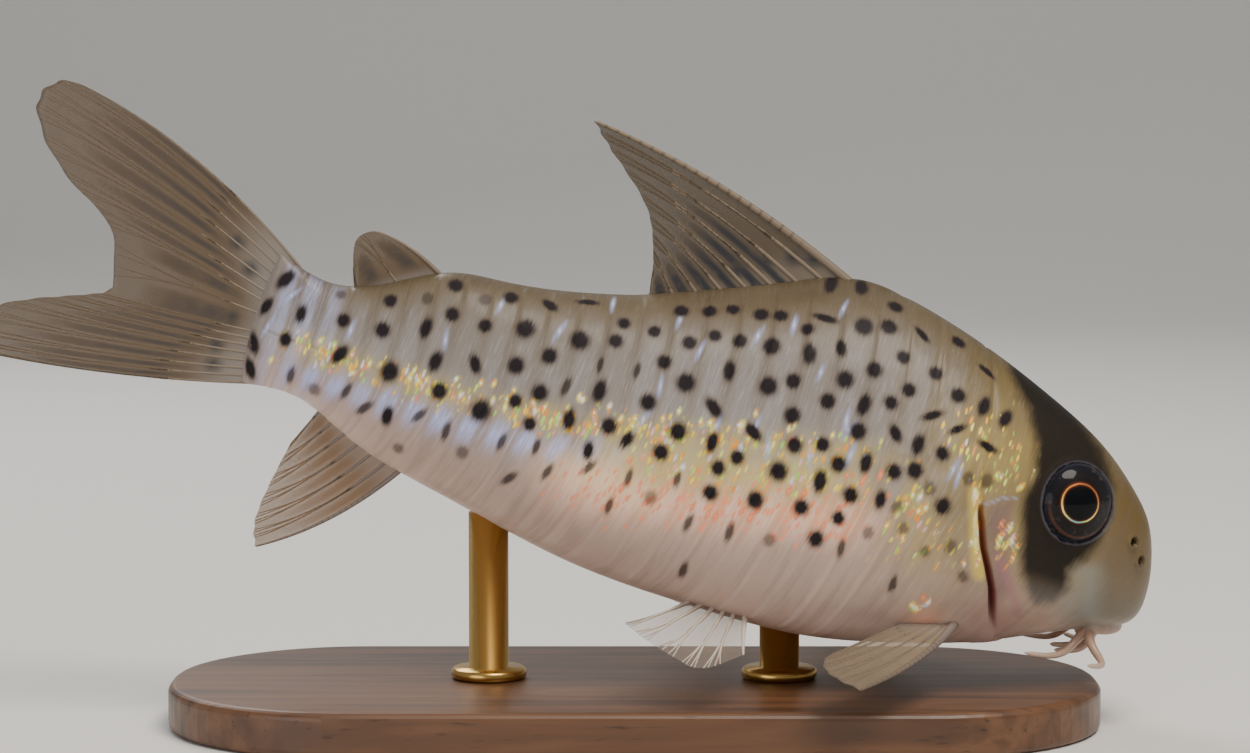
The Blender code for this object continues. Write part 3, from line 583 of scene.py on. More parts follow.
def marks_seen(places_by_kind, shapes):
    """Marks of both sides, from the pixels where the near ones show and the shape of each kind."""
    marks = []
    for kind, places in places_by_kind.items():
        long_half, tall_half, strength, lean = shapes[kind]
        for x, y, *slope in places:
            hit = sight_tree.ray_cast(*line_of_sight(x, y))[0]
            if hit is None:
                continue
            place = to_fish([hit])[0]
            if slope:
                angle = math.radians(slope[0]) + PITCH
            else:
                angle = math.radians(random.normal(lean, LEAN_SPREAD))
            size = random.uniform(0.88, 1.12)
            marks.append((place, long_half * size, tall_half * size, strength, angle))
            moved = place + random.normal(0, LEFT_JITTER, 3) * (1, 0, 1)
            if random.random() < LEFT_KEPT:
                marks.append((to_left([moved])[0], long_half * size, tall_half * size, strength, angle))
    return marks


def mark_field(marks):
    """How many half lengths each point of the skin is from a mark, and that mark's strength."""
    field = np.full(len(flat_grid), MARK_LIMIT)
    strengths = np.ones(len(flat_grid))
    for place, long_half, tall_half, strength, angle in marks:
        nearest = int(np.argmin(np.sum((flat_grid - place) ** 2, axis=1)))
        way_out, way_tail = out_ways[nearest], tail_ways[nearest]
        way_up = np.cross(way_out, way_tail) * (1 if place[1] <= 0 else -1)
        way_long = math.cos(angle) * way_tail - math.sin(angle) * way_up
        way_tall = math.sin(angle) * way_tail + math.cos(angle) * way_up
        offset = flat_grid - flat_grid[nearest]
        close = np.abs(offset[:, 0]) < MARK_REACH
        share = np.sqrt(
            (offset[close] @ way_long / long_half) ** 2
            + (offset[close] @ way_tall / tall_half) ** 2
            + (offset[close] @ way_out / MARK_DEPTH) ** 2
        )
        strengths[close] = np.where(share < field[close], strength, strengths[close])
        field[close] = np.minimum(field[close], share)
    return field, strengths


spots = marks_seen(SPOTS_SEEN, SPOT_SHAPES)
spot_field, spot_dark = mark_field(spots)
print(len(spots), "spots on both sides")

# %% [markdown]
# Where crystals lie flat to the light the flank sparks, and here those sparks are painted highlights,
# glints of the lamp laid into the colour: gold along the seam and behind the gill, orange and pink
# lower down, blue and white in short strokes across the upper plates. The brightest are placed one
# by one, in the same way as the spots, and finer flecks come later.

# %% Painted highlights: sparks
PAINTED_SPARKS_SEEN = {
    "gold": (
        (272, 361), (305, 335), (320, 340), (333, 345), (352, 355), (369, 363), (380, 364), (352, 373),
        (408, 378), (414, 369), (420, 381), (428, 381), (456, 379), (462, 395), (482, 384), (492, 401),
        (494, 384), (506, 408), (507, 400), (515, 391), (537, 410), (534, 403), (547, 408), (567, 408),
        (578, 396), (583, 400), (595, 413), (596, 423), (608, 407), (621, 420), (634, 419), (632, 427),
        (665, 420), (665, 435), (679, 410), (703, 422), (708, 423), (710, 432), (738, 425), (745, 426),
        (748, 437), (756, 414), (789, 429), (795, 427), (803, 439), (835, 437), (677, 470), (684, 466),
        (913, 496), (921, 498), (917, 509), (898, 511), (906, 503), (925, 507), (888, 526), (903, 538),
        (997, 477), (1022, 487), (976, 498), (978, 530), (974, 552), (971, 541), (966, 562),
        (1007, 526), (1010, 540), (1017, 545), (998, 536), (996, 545), (1011, 557),
        (913, 604), (915, 607), (928, 601), (976, 494), (979, 502), (977, 526), (978, 534), (1000, 478),
    ),
    "pink": (
        (622, 486), (649, 500), (694, 507), (707, 513), (717, 514), (741, 514), (751, 519), (758, 509),
        (749, 517), (789, 493), (793, 507), (795, 516), (805, 494), (824, 526), (829, 537), (839, 506),
        (841, 523), (848, 473), (863, 482), (866, 479), (887, 498), (880, 474), (1003, 533), (1001, 522),
        (1015, 536), (978, 562), (921, 597),
    ),
    "blue": (
        (386, 397), (411, 405), (436, 416), (462, 426), (493, 434), (521, 442), (552, 451), (613, 304),
        (643, 418), (682, 319), (717, 426), (756, 336), (757, 427), (770, 449), (793, 326), (810, 456),
        (843, 309), (848, 420), (849, 456), (850, 430), (954, 470), (959, 474), (500, 305), (560, 332),
        (700, 352), (822, 372), (660, 386), (447, 340), (352, 331), (290, 295), (268, 327),
    ),
}
PAINTED_SPARK_SHAPES = {
    "gold": (0.11, 0.23, 1.0, -18), "pink": (0.1, 0.26, 1.0, -20), "blue": (0.13, 0.62, 1.0, -14),
}
painted_sparks = {
    kind: mark_field(marks_seen({kind: places}, PAINTED_SPARK_SHAPES))[0] for kind, places in PAINTED_SPARKS_SEEN.items()
}
print("sparks of", len(painted_sparks), "colours")

# %% [markdown]
# The mask is a dark band from the nape, over the eye and down to the corner of the cheek. Seen
# from the side it is a closed outline, given by its corners in the fish's millimetres, as they
# fall on its middle plane from the camera. Each point of the skin is carried to that plane in
# the same way. A signed distance, negative inside, lets the shader feather the edge.

# %% Mask, gill and silver
MASK = (
    (9.9, 9.2), (8.7, 7.3), (7.6, 6.1), (6.7, 4.8), (6.3, 3.4), (6.55, 2.3), (6.25, 0.9), (5.8, -0.5),
    (5.3, -1.6), (4.6, -2.1), (3.9, -1.75), (3.6, -1.1), (3.75, -0.3), (3.1, 0.4), (2.85, 1.5), (2.7, 2.6),
    (3.1, 4.0), (3.6, 4.75), (4.3, 5.6), (5.2, 6.5), (7.2, 8.2),
)
CHEEK = ((3.95, -0.5), (2.6, -0.1), (2.1, -1.75), (3.4, -2.2))
# Lines of the bone behind the gill and of the suture, which carry painted highlights.
CLEITHRUM = ((8.8, 1.95), (8.42, 0.9), (8.15, 0.0), (7.85, -0.8), (7.5, -1.6))
SUTURE = ((8.35, 1.5), (7.95, 1.6), (7.5, 2.0), (6.9, 2.15))
PINK = ((6.9, -0.7), (6.25, -1.45), (5.7, -2.2), (5.35, -2.8))
OPERCLE = (
    (8.2, 1.5), (7.5, 2.0), (6.8, 2.2), (6.75, 0.9), (6.4, -0.6), (5.9, -1.9), (6.5, -2.9), (7.1, -1.4),
    (7.8, 0.0),
)
# Where the painted glint at the root of a pectoral fin sits, and how far it reaches.
PECTORAL_BASE = (9.92, -4.6, -3.74)
PAINTED_GLINT_RADIUS = 0.75


def stroke_distance(alongs, ups, corners):
    """Distance to a broken line seen from the side."""
    nearest = np.full(alongs.shape, np.inf)
    for (a0, u0), (a1, u1) in zip(corners, corners[1:]):
        step_a, step_u = a1 - a0, u1 - u0
        share = np.clip(((alongs - a0) * step_a + (ups - u0) * step_u) / (step_a**2 + step_u**2), 0, 1)
        nearest = np.minimum(nearest, np.hypot(alongs - a0 - share * step_a, ups - u0 - share * step_u))
    return nearest


def inside_outline(alongs, ups, corners):
    """Signed distance to a closed outline seen from the side, negative inside."""
    closed = corners + corners[:1]
    inside = np.zeros(alongs.shape, bool)
    for (a0, u0), (a1, u1) in zip(closed, closed[1:]):
        crosses = (u0 > ups) != (u1 > ups)
        slant = a0 + (ups - u0) * (a1 - a0) / (u1 - u0 if u1 != u0 else 1e-9)
        inside ^= crosses & (alongs < slant)
    nearest = stroke_distance(alongs, ups, closed)
    return np.where(inside, -nearest, nearest)


eye_point = to_fish([camera.location])[0]
near_grid = np.stack([grid[:, :, 0], -np.abs(grid[:, :, 1]), grid[:, :, 2]], axis=-1)
carried = eye_point[1] / (eye_point[1] - near_grid[:, :, 1:2])
seen = eye_point + (near_grid - eye_point) * carried
seen_along, seen_up = seen[:, :, 0], seen[:, :, 2]
up = grid[:, :, 2]
mask = inside_outline(seen_along, seen_up, MASK)
cheek = smooth(-inside_outline(seen_along, seen_up, CHEEK), -1.0, 0.5)
pink = 0.8 * bump(stroke_distance(seen_along, seen_up, PINK), 0.28)
pink = np.maximum(pink, 0.6 * bump(np.hypot(seen_along - 6.2, seen_up + 3.4), 1.1))


def patch_seen(along, up, half_along, half_up):
    """A soft oval patch on the side, by its middle and half sizes as seen from the camera."""
    return bump(np.hypot((seen_along - along) / half_along, (seen_up - up) / half_up), 1.0)


# For each band of light along the flank: how far it lies under the seam, its half width, and the
# four places along the fish between which it fades in and out.
BANDS = {
    "seam": (0.1, 0.6, 11, 16, 39, 42), "glow": (1.3, 1.0, 13, 17, 23.5, 27),
    "lower": (1.5, 1.2, 12, 16, 22, 27), "rosy": (3.0, 1.15, 12, 15, 25, 29),
    "lilac": (1.3, 0.62, 23, 26, 39, 42),
}
above_seam = up - seam_up(grid_along)
at_seam, glow, lower_glow, rosy, lilac = (
    bump(above_seam + drop, half) * window(grid_along, *fades) for drop, half, *fades in BANDS.values()
)
lilac = np.maximum(lilac, 0.45 * smooth(grid_along, 37.5, 40))
# A painted highlight: the shine of the lamp low on the middle of the flank, in cream.
painted_shine = patch_seen(24.8, -2.5, 2.7, 0.95)
behind_gill = np.maximum(patch_seen(11.3, 0.6, 0.8, 0.9), 0.75 * patch_seen(10.6, -0.9, 1.5, 1.5))
on_cover = patch_seen(6.75, 0.0, 0.5, 0.95)
nape_gold = bump(grid_along - 9.5, 1.8) * bump(up - 4.2, 1.6)
glitter = np.max([1.1 * at_seam, 0.95 * lower_glow, behind_gill, on_cover, 0.8 * nape_gold], axis=0)
gill_red = bump(past_gill, 0.11) * gill_open
on_head = grid_along < head_end(grid_turn) + 1.5
cleithrum = np.where(on_head, stroke_distance(seen_along, seen_up, CLEITHRUM), FAR)
suture = np.where(on_head, stroke_distance(seen_along, seen_up, SUTURE), FAR)
opercle = smooth(-inside_outline(seen_along, seen_up, OPERCLE), -0.25, 0.45) * on_head
# A painted highlight: a pink glint of the lamp at the root of each pectoral fin.
painted_glint = bump(distance_to(grid, [PECTORAL_BASE, to_left(PECTORAL_BASE)]), PAINTED_GLINT_RADIUS)
print("mask covers", int((mask < 0).sum()), "points of the skin")

# %% [markdown]
# Every material below is worked out at each point from numbers, and a few small functions keep
# that readable. One adds a node with its settings and links. The arithmetic is written as shares,
# which are multiplied, and sums. Colours are then laid over one another like coats of paint, each
# where its share says. Colours are hex values, because those can be picked by eye, and shaders
# want them linear.

# %% Helpers for materials
def srgb(colour):
    """A hex colour as the linear values that a shader takes."""
    channels = [int(colour[i : i + 2], 16) / 255 for i in (1, 3, 5)]
    return (*[c / 12.92 if c <= 0.04045 else ((c + 0.055) / 1.055) ** 2.4 for c in channels], 1.0)


def feed(tree, node, links):
    """Gives sockets of a node a value, a hex colour or another node's output."""
    for socket, source in links.items():
        if isinstance(source, bpy.types.NodeSocket):
            tree.links.new(source, node.inputs[socket])
        elif isinstance(source, str) and source.startswith("#"):
            node.inputs[socket].default_value = srgb(source)
        else:
            node.inputs[socket].default_value = source
    return node


def add_node(tree, kind, links=None, **settings):
    """A node with its settings and links."""
    node = tree.nodes.new(kind)
    for name, value in settings.items():
        setattr(node, name, value)
    return feed(tree, node, links or {})


def set_stops(node, *stops):
    """Gives a colour ramp its stops, as (place, hex colour) pairs. Returns its colour output."""
    ramp = node.color_ramp
    while len(ramp.elements) < len(stops):
        ramp.elements.new(0.5)
    for element, (place, colour) in zip(ramp.elements, stops):
        element.position = place
        element.color = srgb(colour)
    return node.outputs["Color"]


def share_of(tree, *factors):
    """Factors multiplied. Each is an output, a number or a soft step. A step is a value and the
    two limits between which it goes from 0 to 1, or from one to the other of two more numbers."""
    result = None
    for factor in factors:
        if isinstance(factor, tuple):
            links = dict(zip(("Value", "From Min", "From Max", "To Min", "To Max"), factor))
            step = add_node(tree, "ShaderNodeMapRange", links, interpolation_type="SMOOTHSTEP")
            factor = step.outputs[0]
        if result is None:
            result = factor
        else:
            links = {0: result, 1: factor}
            result = add_node(tree, "ShaderNodeMath", links, operation="MULTIPLY").outputs[0]
    return result


def summed(tree, *terms):
    """Terms added up. Each is an output or a number, or a pair of them to be multiplied first."""
    result = 0.0
    for term in terms:
        value, times = term if isinstance(term, tuple) else (term, 1.0)
        links = {0: value, 1: times, 2: result}
        result = add_node(tree, "ShaderNodeMath", links, operation="MULTIPLY_ADD").outputs[0]
    return result


def layered(tree, bottom, *layers):
    """Colours laid over a bottom one in turn. Each layer is its share and its colour."""
    for amount, colour in layers:
        coat = add_node(tree, "ShaderNodeMix", {0: amount, 6: bottom, 7: colour}, data_type="RGBA")
        bottom = coat.outputs[2]
    return bottom


def new_material(name, *fields):
    """A material with one Principled shader, and outputs for the numbers kept under some names."""
    material = bpy.data.materials.new(name)
    material.use_nodes = True
    tree = material.node_tree
    kept = [add_node(tree, "ShaderNodeAttribute", attribute_name=field).outputs["Fac"] for field in fields]
    return material, tree, tree.nodes["Principled BSDF"], *kept


print("half grey is", round(srgb("#808080")[0], 3), "as a linear value")

# %% [markdown]
# A piece is a mesh whose object stays at the origin, with its place in its points. Numbers that
# a material will want are kept at the points, so a pattern follows the surface of its piece.

# %% Helpers for pieces
def keep_fields(mesh, fields):
    """Keeps numbers or vectors at the points of a mesh, by name."""
    for field, values in fields.items():
        values = np.asarray(values, np.float32)
        vector = values.ndim == 2
        layer = mesh.attributes.new(field, "FLOAT_VECTOR" if vector else "FLOAT", "POINT")
        layer.data.foreach_set("vector" if vector else "value", values.ravel())


def new_object(name, data):
    """An object at the origin for a mesh or a lamp."""
    piece = bpy.data.objects.new(name, data)
    bpy.context.scene.collection.objects.link(piece)
    return piece


def new_piece(name, points, faces, material=None, fields=None):
    """A smooth piece, from its points in metres."""
    mesh = bpy.data.meshes.new(name)
    mesh.from_pydata([tuple(p) for p in points], [], faces)
    mesh.update()
    mesh.shade_smooth()
    keep_fields(mesh, fields or {})
    if material:
        mesh.materials.append(material)
    return new_object(name, mesh)


def settle(piece, slot, *nodes):
    """A finished piece rides on the one body, and stands for the frame's plain nodes."""
    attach(piece, "root")
    if nodes:
        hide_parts(*nodes)
    triangles = sum(len(polygon.vertices) - 2 for polygon in piece.data.polygons)
    print(piece.name, "is", triangles, "triangles")


# %% [markdown]
# Armoured catfish skin is bone under a thin clear skin, wet with mucus. Guanine crystals lie in
# fine fibres along each plate and give a silver that breaks into coloured flecks on the seam and
# behind the gill. Here the fibres are a noise stretched along the plates, 0.075 mm wide, which
# is coarser than the real ones, so that they show. A number for each plate lets some of them
# shine more than others.

# %% Skin: fibres, blotches and grit
FIBRE = 0.075
FIBRE_LEAN = 0.08
SKIN_FIELDS = (
    "turn", "along", "spot", "spot_dark", "mask", "mask_strength", "scute", "plated", "plate", "glitter",
    "rosy", "lilac", "glow", "painted_shine", "gill_red", "cheek", "cleithrum", "suture", "opercle", "pink", "painted_glint",
    "orbit", "lip", "nostril_pit_shade", "stem_end", "gold_spark", "pink_spark", "blue_spark",
)
skin_look, tree, shader, *outputs = new_material("wet_guanine_skin_over_bone", *SKIN_FIELDS)
given = dict(zip(SKIN_FIELDS, outputs))
lie = add_node(tree, "ShaderNodeAttribute", attribute_name="lie").outputs["Vector"]
place = add_node(tree, "ShaderNodeTexCoord").outputs["Object"]
# Blotches are 2.2 mm across and grit 0.19 mm. A fibre's width gives the fibres and the broader
# streaks their scale, and a cluster is four tenths of a plate.
blotches, grit, fibres, clusters, streaks = (
    add_node(
        tree, "ShaderNodeTexNoise", {"Vector": vector, "Scale": scale, "Detail": detail, "Roughness": rough}
    ).outputs["Fac"]
    for vector, scale, detail, rough in (
        (place, 450.0, 3.0, 0.5), (place, 5200.0, 3.0, 0.5), (lie, 1.3 / FIBRE, 4.0, 0.7),
        (lie, 2.6, 2.0, 0.5), (lie, 0.3 / FIBRE, 2.0, 0.5),
    )
)
plate_row = add_node(tree, "ShaderNodeMath", {0: given["plate"]}, operation="FLOOR").outputs[0]
lower_row = add_node(tree, "ShaderNodeMath", {0: given["turn"], 1: SEAM}, operation="GREATER_THAN")
plate_key = add_node(tree, "ShaderNodeCombineXYZ", {0: plate_row, 1: lower_row.outputs[0]}).outputs[0]
plate_luck = add_node(
    tree, "ShaderNodeTexWhiteNoise", {"Vector": plate_key}, noise_dimensions="3D"
).outputs[0]
ragged = summed(tree, (fibres, 0.9), -0.45)
print("the skin's material reads", len(given), "numbers")

# %% [markdown]
# The ground runs from a brown back to a pale pink belly. The head is more golden than the body,
# and the snout is greyer, so there are three runs of colours, and the place along the fish says
# where one gives way to the next. Blotches bend the runs a little, because a line that is
# exactly level looks printed.

# %% Skin: ground colours
BODY_GROUND = (
    (0.0, "#50432D"), (0.1, "#675A44"), (0.3, "#7C7368"), (0.48, "#8E857D"), (0.62, "#A89487"),
    (0.78, "#C6A99A"), (0.9, "#DABFAF"), (1.0, "#E7D0C1"),
)
HEAD_GROUND = (
    (0.0, "#42351D"), (0.16, "#6C5B36"), (0.4, "#85724A"), (0.58, "#8F7D57"), (0.74, "#AF9683"),
    (0.88, "#E0C8BC"), (1.0, "#F0DCD2"),
)
SNOUT_GROUND = ((0.0, "#5F4D31"), (0.3, "#68552F"), (0.55, "#72624A"), (0.75, "#787060"), (1.0, "#B4A296"))
wavy_turn = summed(tree, given["turn"], (blotches, 0.12), -0.06)
body_ground, head_ground, snout_ground = (
    set_stops(add_node(tree, "ShaderNodeValToRGB", {"Fac": wavy_turn}), *stops)
    for stops in (BODY_GROUND, HEAD_GROUND, SNOUT_GROUND)
)
ground = layered(
    tree, body_ground,
    (share_of(tree, (given["along"], 15.5, 8.5)), head_ground),
    (share_of(tree, (given["along"], 4.4, 2.4)), snout_ground),
)
print("ground colours:", len(BODY_GROUND) + len(HEAD_GROUND) + len(SNOUT_GROUND), "stops")

# %% [markdown]
# The silver comes in three ways: as fibres everywhere, as darker bands between them, and as a
# brighter patch in the middle of each plate. Below the seam at the rear the patches turn blue.
# In front of them the flank glows yellow and rose, as thin layers over the silver, and a cream
# patch low on the middle of the flank is a painted highlight, the shine of the lamp on wet skin.

# %% Skin: silver and glow
silver = share_of(
    tree, (fibres, 0.48, 0.75), (given["turn"], 0.08, 0.45, 0.08, 0.34),
    (given["along"], 5.0, 11.0, 0.12, 1.0),
)
patch = share_of(
    tree, (given["scute"], 0.08, 0.3), (given["scute"], 0.86, 0.62), given["plated"],
    (fibres, 0.25, 0.65, 0.3, 1.0),
)
off_flank = add_node(
    tree, "ShaderNodeMath", {0: summed(tree, given["turn"], -0.42)}, operation="ABSOLUTE"
).outputs[0]
lucky_patch = share_of(tree, patch, summed(tree, (plate_luck, 0.6), 0.3), (off_flank, 0.34, 0.1, 0.0, 0.26))
ground = layered(
    tree, ground,
    (silver, "#C3BDC0"),
    (share_of(tree, (streaks, 0.54, 0.34, 0.0, 0.2)), "#6A5D54"),
    (lucky_patch, "#C4C6D2"),
    (share_of(tree, given["lilac"], (fibres, 0.3, 0.65), 0.4), "#B4B3D2"),
    (share_of(tree, patch, (plate_luck, 0.0, 1.0, 0.75, 1.0), given["lilac"]), "#BFCAFC"),
    (share_of(tree, given["glow"], (blotches, 0.25, 0.6, 0.35, 0.8)), "#CFC288"),
    (share_of(tree, given["rosy"], (fibres, 0.2, 0.65, 0.5, 0.95)), "#F5B792"),
    (share_of(tree, given["rosy"], patch, 0.6), "#FBE3D6"),
    # Painted highlight: shine of the lamp on the wet middle flank, in cream.
    (share_of(tree, given["painted_shine"], (fibres, 0.2, 0.6, 0.6, 1.0)), "#FFDDB4"),
)
print("silver and glow:", len(tree.nodes), "nodes so far")

# %% [markdown]
# Flecks are Voronoi cells drawn out along the fibres, about a tenth of a millimetre wide. Each
# cell has random numbers of its own: one says whether it sparks at all, which is likelier where
# the skin glitters, and another picks its colour. The brightest sparks, painted highlights placed
# one by one, are laid over them after the marks of the head.

# %% Skin: flecks
FLECK_SCALE = (10.0, 42.0, 42.0)
drawn_out = add_node(tree, "ShaderNodeMapping", {"Vector": lie, "Scale": FLECK_SCALE}).outputs[0]
cells = add_node(tree, "ShaderNodeTexVoronoi", {"Vector": drawn_out, "Scale": 1.0, "Randomness": 1.0})
picks = add_node(tree, "ShaderNodeSeparateColor", {"Color": cells.outputs["Color"]}).outputs
fleck_colour = set_stops(
    add_node(tree, "ShaderNodeValToRGB", {"Fac": picks[1]}),
    (0.0, "#FF9A3C"), (0.18, "#FFC04A"), (0.4, "#FFE650"), (0.58, "#F6F08A"), (0.72, "#A8E668"),
    (0.84, "#FF8A5A"), (1.0, "#DDEBFF"),
)
crowd = share_of(tree, given["glitter"], (clusters, 0.36, 0.58, 0.35, 1.0))
rosy_crowd = share_of(tree, given["rosy"], (clusters, 0.36, 0.58, 0.4, 0.9))
flecks = share_of(
    tree, (summed(tree, picks[0], (crowd, 0.8), -1.0), 0.0, 0.1), (cells.outputs["Distance"], 0.72, 0.3)
)
rosy_flecks = share_of(
    tree, (summed(tree, picks[0], (rosy_crowd, 0.7), -1.0), 0.0, 0.1),
    (cells.outputs["Distance"], 0.72, 0.3, 0.0, 0.9),
)
ground = layered(
    tree, ground,
    (share_of(tree, crowd, 0.6), "#C9B268"),
    (flecks, fleck_colour),
    (rosy_flecks, "#FF9C76"),
    (share_of(tree, given["stem_end"], (fibres, 0.2, 0.7, 0.9, 0.55)), "#8B8078"),
)
print("flecks are", round(HEAD_PITCH / FLECK_SCALE[0], 2), "mm wide")

# %% [markdown]
# On the head the gill cover is rosy, with a pale silvery line along the suture at its top that is
# a painted highlight. The bony edge behind the gill opening is brass gold, and a near white painted
# highlight along its ridge stands for the glints of the lamp there. The opening itself is deep red.
# Each is a layer by its distance from a line or outline, with an edge that the fibres make ragged.

# %% Skin: marks of the head, and painted highlights
# Painted highlights: how strong each kind of spark is, and the colours of its fringe and its core.
PAINTED_SPARK_COLOURS = {
    "blue": (0.55, "#A9B2DE", "#D9DFF8"),
    "pink": (0.95, "#F08A62", "#FFA877"),
    "gold": (0.95, fleck_colour, "#FFFBDC"),
}
# The ridge of the bony edge behind the gill, where a painted highlight lies.
ridge = summed(tree, given["cleithrum"], (ragged, 0.3))
ground = layered(
    tree, ground,
    (share_of(tree, given["opercle"], 0.6), "#755A60"),
    (share_of(tree, given["opercle"], flecks), fleck_colour),
    (share_of(tree, given["pink"], 0.6), "#A8727A"),
    # Painted highlight: a pale line along the suture.
    (share_of(tree, (given["suture"], 0.15, 0.02, 0.0, 0.5)), "#A7A9C8"),
    (share_of(tree, given["cheek"], (blotches, 0.3, 0.65, 0.2, 0.75)), "#8F938C"),
    # Brass gold of the bony edge, then a near white painted highlight on its ridge.
    (share_of(tree, (given["cleithrum"], 0.5, 0.08, 0.0, 0.8), (blotches, 0.3, 0.6, 0.3, 1.0)), "#DFC257"),
    (share_of(tree, (ridge, 0.2, 0.0), (clusters, 0.4, 0.52)), "#FFF3B4"),
    # Painted highlight at the root of each pectoral fin.
    (share_of(tree, given["painted_glint"], 0.75), "#EBA88C"),
    (share_of(tree, given["gill_red"], 0.92), "#641F20"),
)
# Each spark is a painted highlight: a ragged fringe and a paler core where the lamp glints.
for kind, (strength, fringe, core) in PAINTED_SPARK_COLOURS.items():
    edge = summed(tree, given[kind + "_spark"], (ragged, 1.1))
    ground = layered(
        tree, ground,
        (share_of(tree, (edge, 1.5, 0.5, 0.0, strength)), fringe),
        (share_of(tree, (edge, 0.7, 0.15, 0.0, strength)), core),
    )
ground = layered(tree, ground, (share_of(tree, given["lip"], 0.6), "#BC9080"))
print("sparks have", len(PAINTED_SPARK_COLOURS), "colours")

# %% [markdown]
# The mask and the spots are black pigment over everything else, and feather out along the
# fibres. A spot has a soft brown halo. Last come the rim of the orbit, and then painted shade: the
# cup under the eyeball is made near black, and the pits of the nostrils darker.

# %% Skin: mask, spots and orbit
mask_edge = summed(tree, given["mask"], (blotches, 0.8), -0.4, (ragged, 0.5))
mask_share = share_of(tree, (mask_edge, 0.5, -0.3, 0.0, 0.97), given["mask_strength"])
# The mask fades below the eye, into a blue grey.
mask_foot = share_of(tree, (given["mask_strength"], 1.0, 0.55, 0.0, 0.5), (mask_edge, 0.3, -0.2))
spot_edge = summed(tree, given["spot"], (ragged, 0.75))
spot_share = share_of(tree, (spot_edge, 1.32, 0.58), given["spot_dark"])
ground = layered(
    tree, ground,
    (mask_foot, "#5A646A"),
    (mask_share, "#17110D"),
    (share_of(tree, (given["spot"], 1.75, 1.0, 0.0, 0.35), given["spot_dark"]), "#5A4838"),
    (spot_share, "#1E1619"),
    (share_of(tree, (given["orbit"], 1.93, 1.82, 0.0, 0.5)), "#5E5B66"),
    # Painted shade: the cup of the socket under the eyeball, near black.
    (share_of(tree, (given["orbit"], 1.74, 1.68)), "#120E0D"),
    # Painted shade in the pits of the nostrils.
    (share_of(tree, given["nostril_pit_shade"], 0.6), "#2E2218"),
)
print("mask and spots are", len(SPOT_SHAPES) + 1, "kinds of dark mark")

# %% [markdown]
# The wet look is a thin clear coat with the index of water, and it is weaker on the dark
# pigment, which is matt. The silver is smoother than the rest. Fibres and grit also stand up by
# a few hundredths of a millimetre, so the light catches on them.

# %% Skin: wetness and relief
dark_share = add_node(
    tree, "ShaderNodeMath", {0: spot_share, 1: mask_share}, operation="MAXIMUM"
).outputs[0]
height = summed(tree, (fibres, 0.3), (grit, 0.4))
fine_relief = add_node(tree, "ShaderNodeBump", {"Height": height, "Strength": 0.5, "Distance": 0.04 * MM})
feed(tree, shader, {
    "Base Color": ground,
    "Metallic": share_of(tree, flecks, 0.35),
    "Roughness": summed(tree, (grit, 0.2), 0.4, (silver, -0.12), (dark_share, 0.22)),
    "Specular IOR Level": 0.22,
    "Coat Weight": share_of(tree, (dark_share, 0.0, 1.0, 0.24, 0.06)),
    "Coat Roughness": 0.16,
    "Coat IOR": 1.34,
    "Normal": fine_relief.outputs["Normal"],
})
print("skin material:", len(tree.nodes), "nodes")

# %% [markdown]
# One skin stands for the head, the trunk and the stem of the tail, so no seam shows where the
# frame's solids part. The grid becomes quads, with a fan of triangles on the tip of the snout
# and a ladder across the thin end under the tail fin. The lie of the fibres is kept as a place
# in a flat map of the plates, so a noise read there runs along them.

# %% Skin
TIP_PLATE = -8.0
ACROSS_FIBRES = 0.06
tip = len(flat_grid)
faces = [tuple(quad[::-1]) for quad in quads.tolist()]
faces += [(tip, i, (i + 1) % columns) for i in range(columns)]
last = (rows - 1) * columns
faces.append((last, last + 1, last + columns - 1))
faces += [
    (last + i, last + i + 1, last + columns - i - 1, last + columns - i) for i in range(1, HALF_AROUND - 1)
]
faces.append((last + HALF_AROUND - 1, last + HALF_AROUND, last + HALF_AROUND + 1))
numbers = np.linspace(0, SCUTES, 4 * SCUTES + 1)
square_along = grid_along + FIBRE_LEAN * (up - seam_up(grid_along))
square_number = np.interp(square_along, scute_edge(numbers, SEAM), numbers)
square_number += np.minimum(square_along - SHOULDER_AT_SEAM, 0) / HEAD_PITCH
square_number += np.maximum(square_along - STEM_END, 0)
fibre_number = np.where(grid_turn < SEAM, square_number, grid_number)
lie = np.stack([fibre_number, ACROSS_FIBRES * grid[:, :, 1], ACROSS_FIBRES * up], axis=-1)
# Each number with its value at the tip of the snout, which is the one point outside the grid.
painted = {
    "turn": (grid_turn, 0.5), "along": (grid_along, 0.0), "scute": (scute_phase, 0.0),
    "plate": (grid_number, TIP_PLATE), "plated": (plated * off_seam, 0.0),
    "spot": (spot_field, MARK_LIMIT), "spot_dark": (spot_dark, 1.0), "mask": (mask, FAR),
    "mask_strength": (1 - 0.6 * smooth(-seen_up, 0.6, 2.2), 1.0),
    "glitter": (np.clip(glitter, 0, 1), 0.0), "rosy": (rosy, 0.0), "lilac": (lilac, 0.0),
    "glow": (glow, 0.0), "painted_shine": (painted_shine, 0.0), "gill_red": (gill_red, 0.0), "cheek": (cheek, 0.0),
    "cleithrum": (cleithrum, FAR), "suture": (suture, FAR), "opercle": (opercle, 0.0),
    "pink": (pink, 0.0), "painted_glint": (painted_glint, 0.0), "orbit": (orbit, FAR), "lip": (lip_share, 0.0),
    "nostril_pit_shade": (nostril_pit_shade, 0.0), "stem_end": (smooth(grid_along, 40.6, 41.7), 0.0),
    **{kind + "_spark": (field, MARK_LIMIT) for kind, field in painted_sparks.items()},
}
painted = {name: np.append(values.ravel(), at_tip) for name, (values, at_tip) in painted.items()}
painted["lie"] = np.concatenate([lie.reshape(-1, 3), [[TIP_PLATE, 0, 0]]])
tip_point = np.array([[0, 0, float(back(0.0))]])
skin_places = to_world(np.concatenate([skin.reshape(-1, 3), tip_point]))
fish_skin = new_piece("catfish_skin", skin_places, faces, skin_look, painted)
shape = bmesh.new()
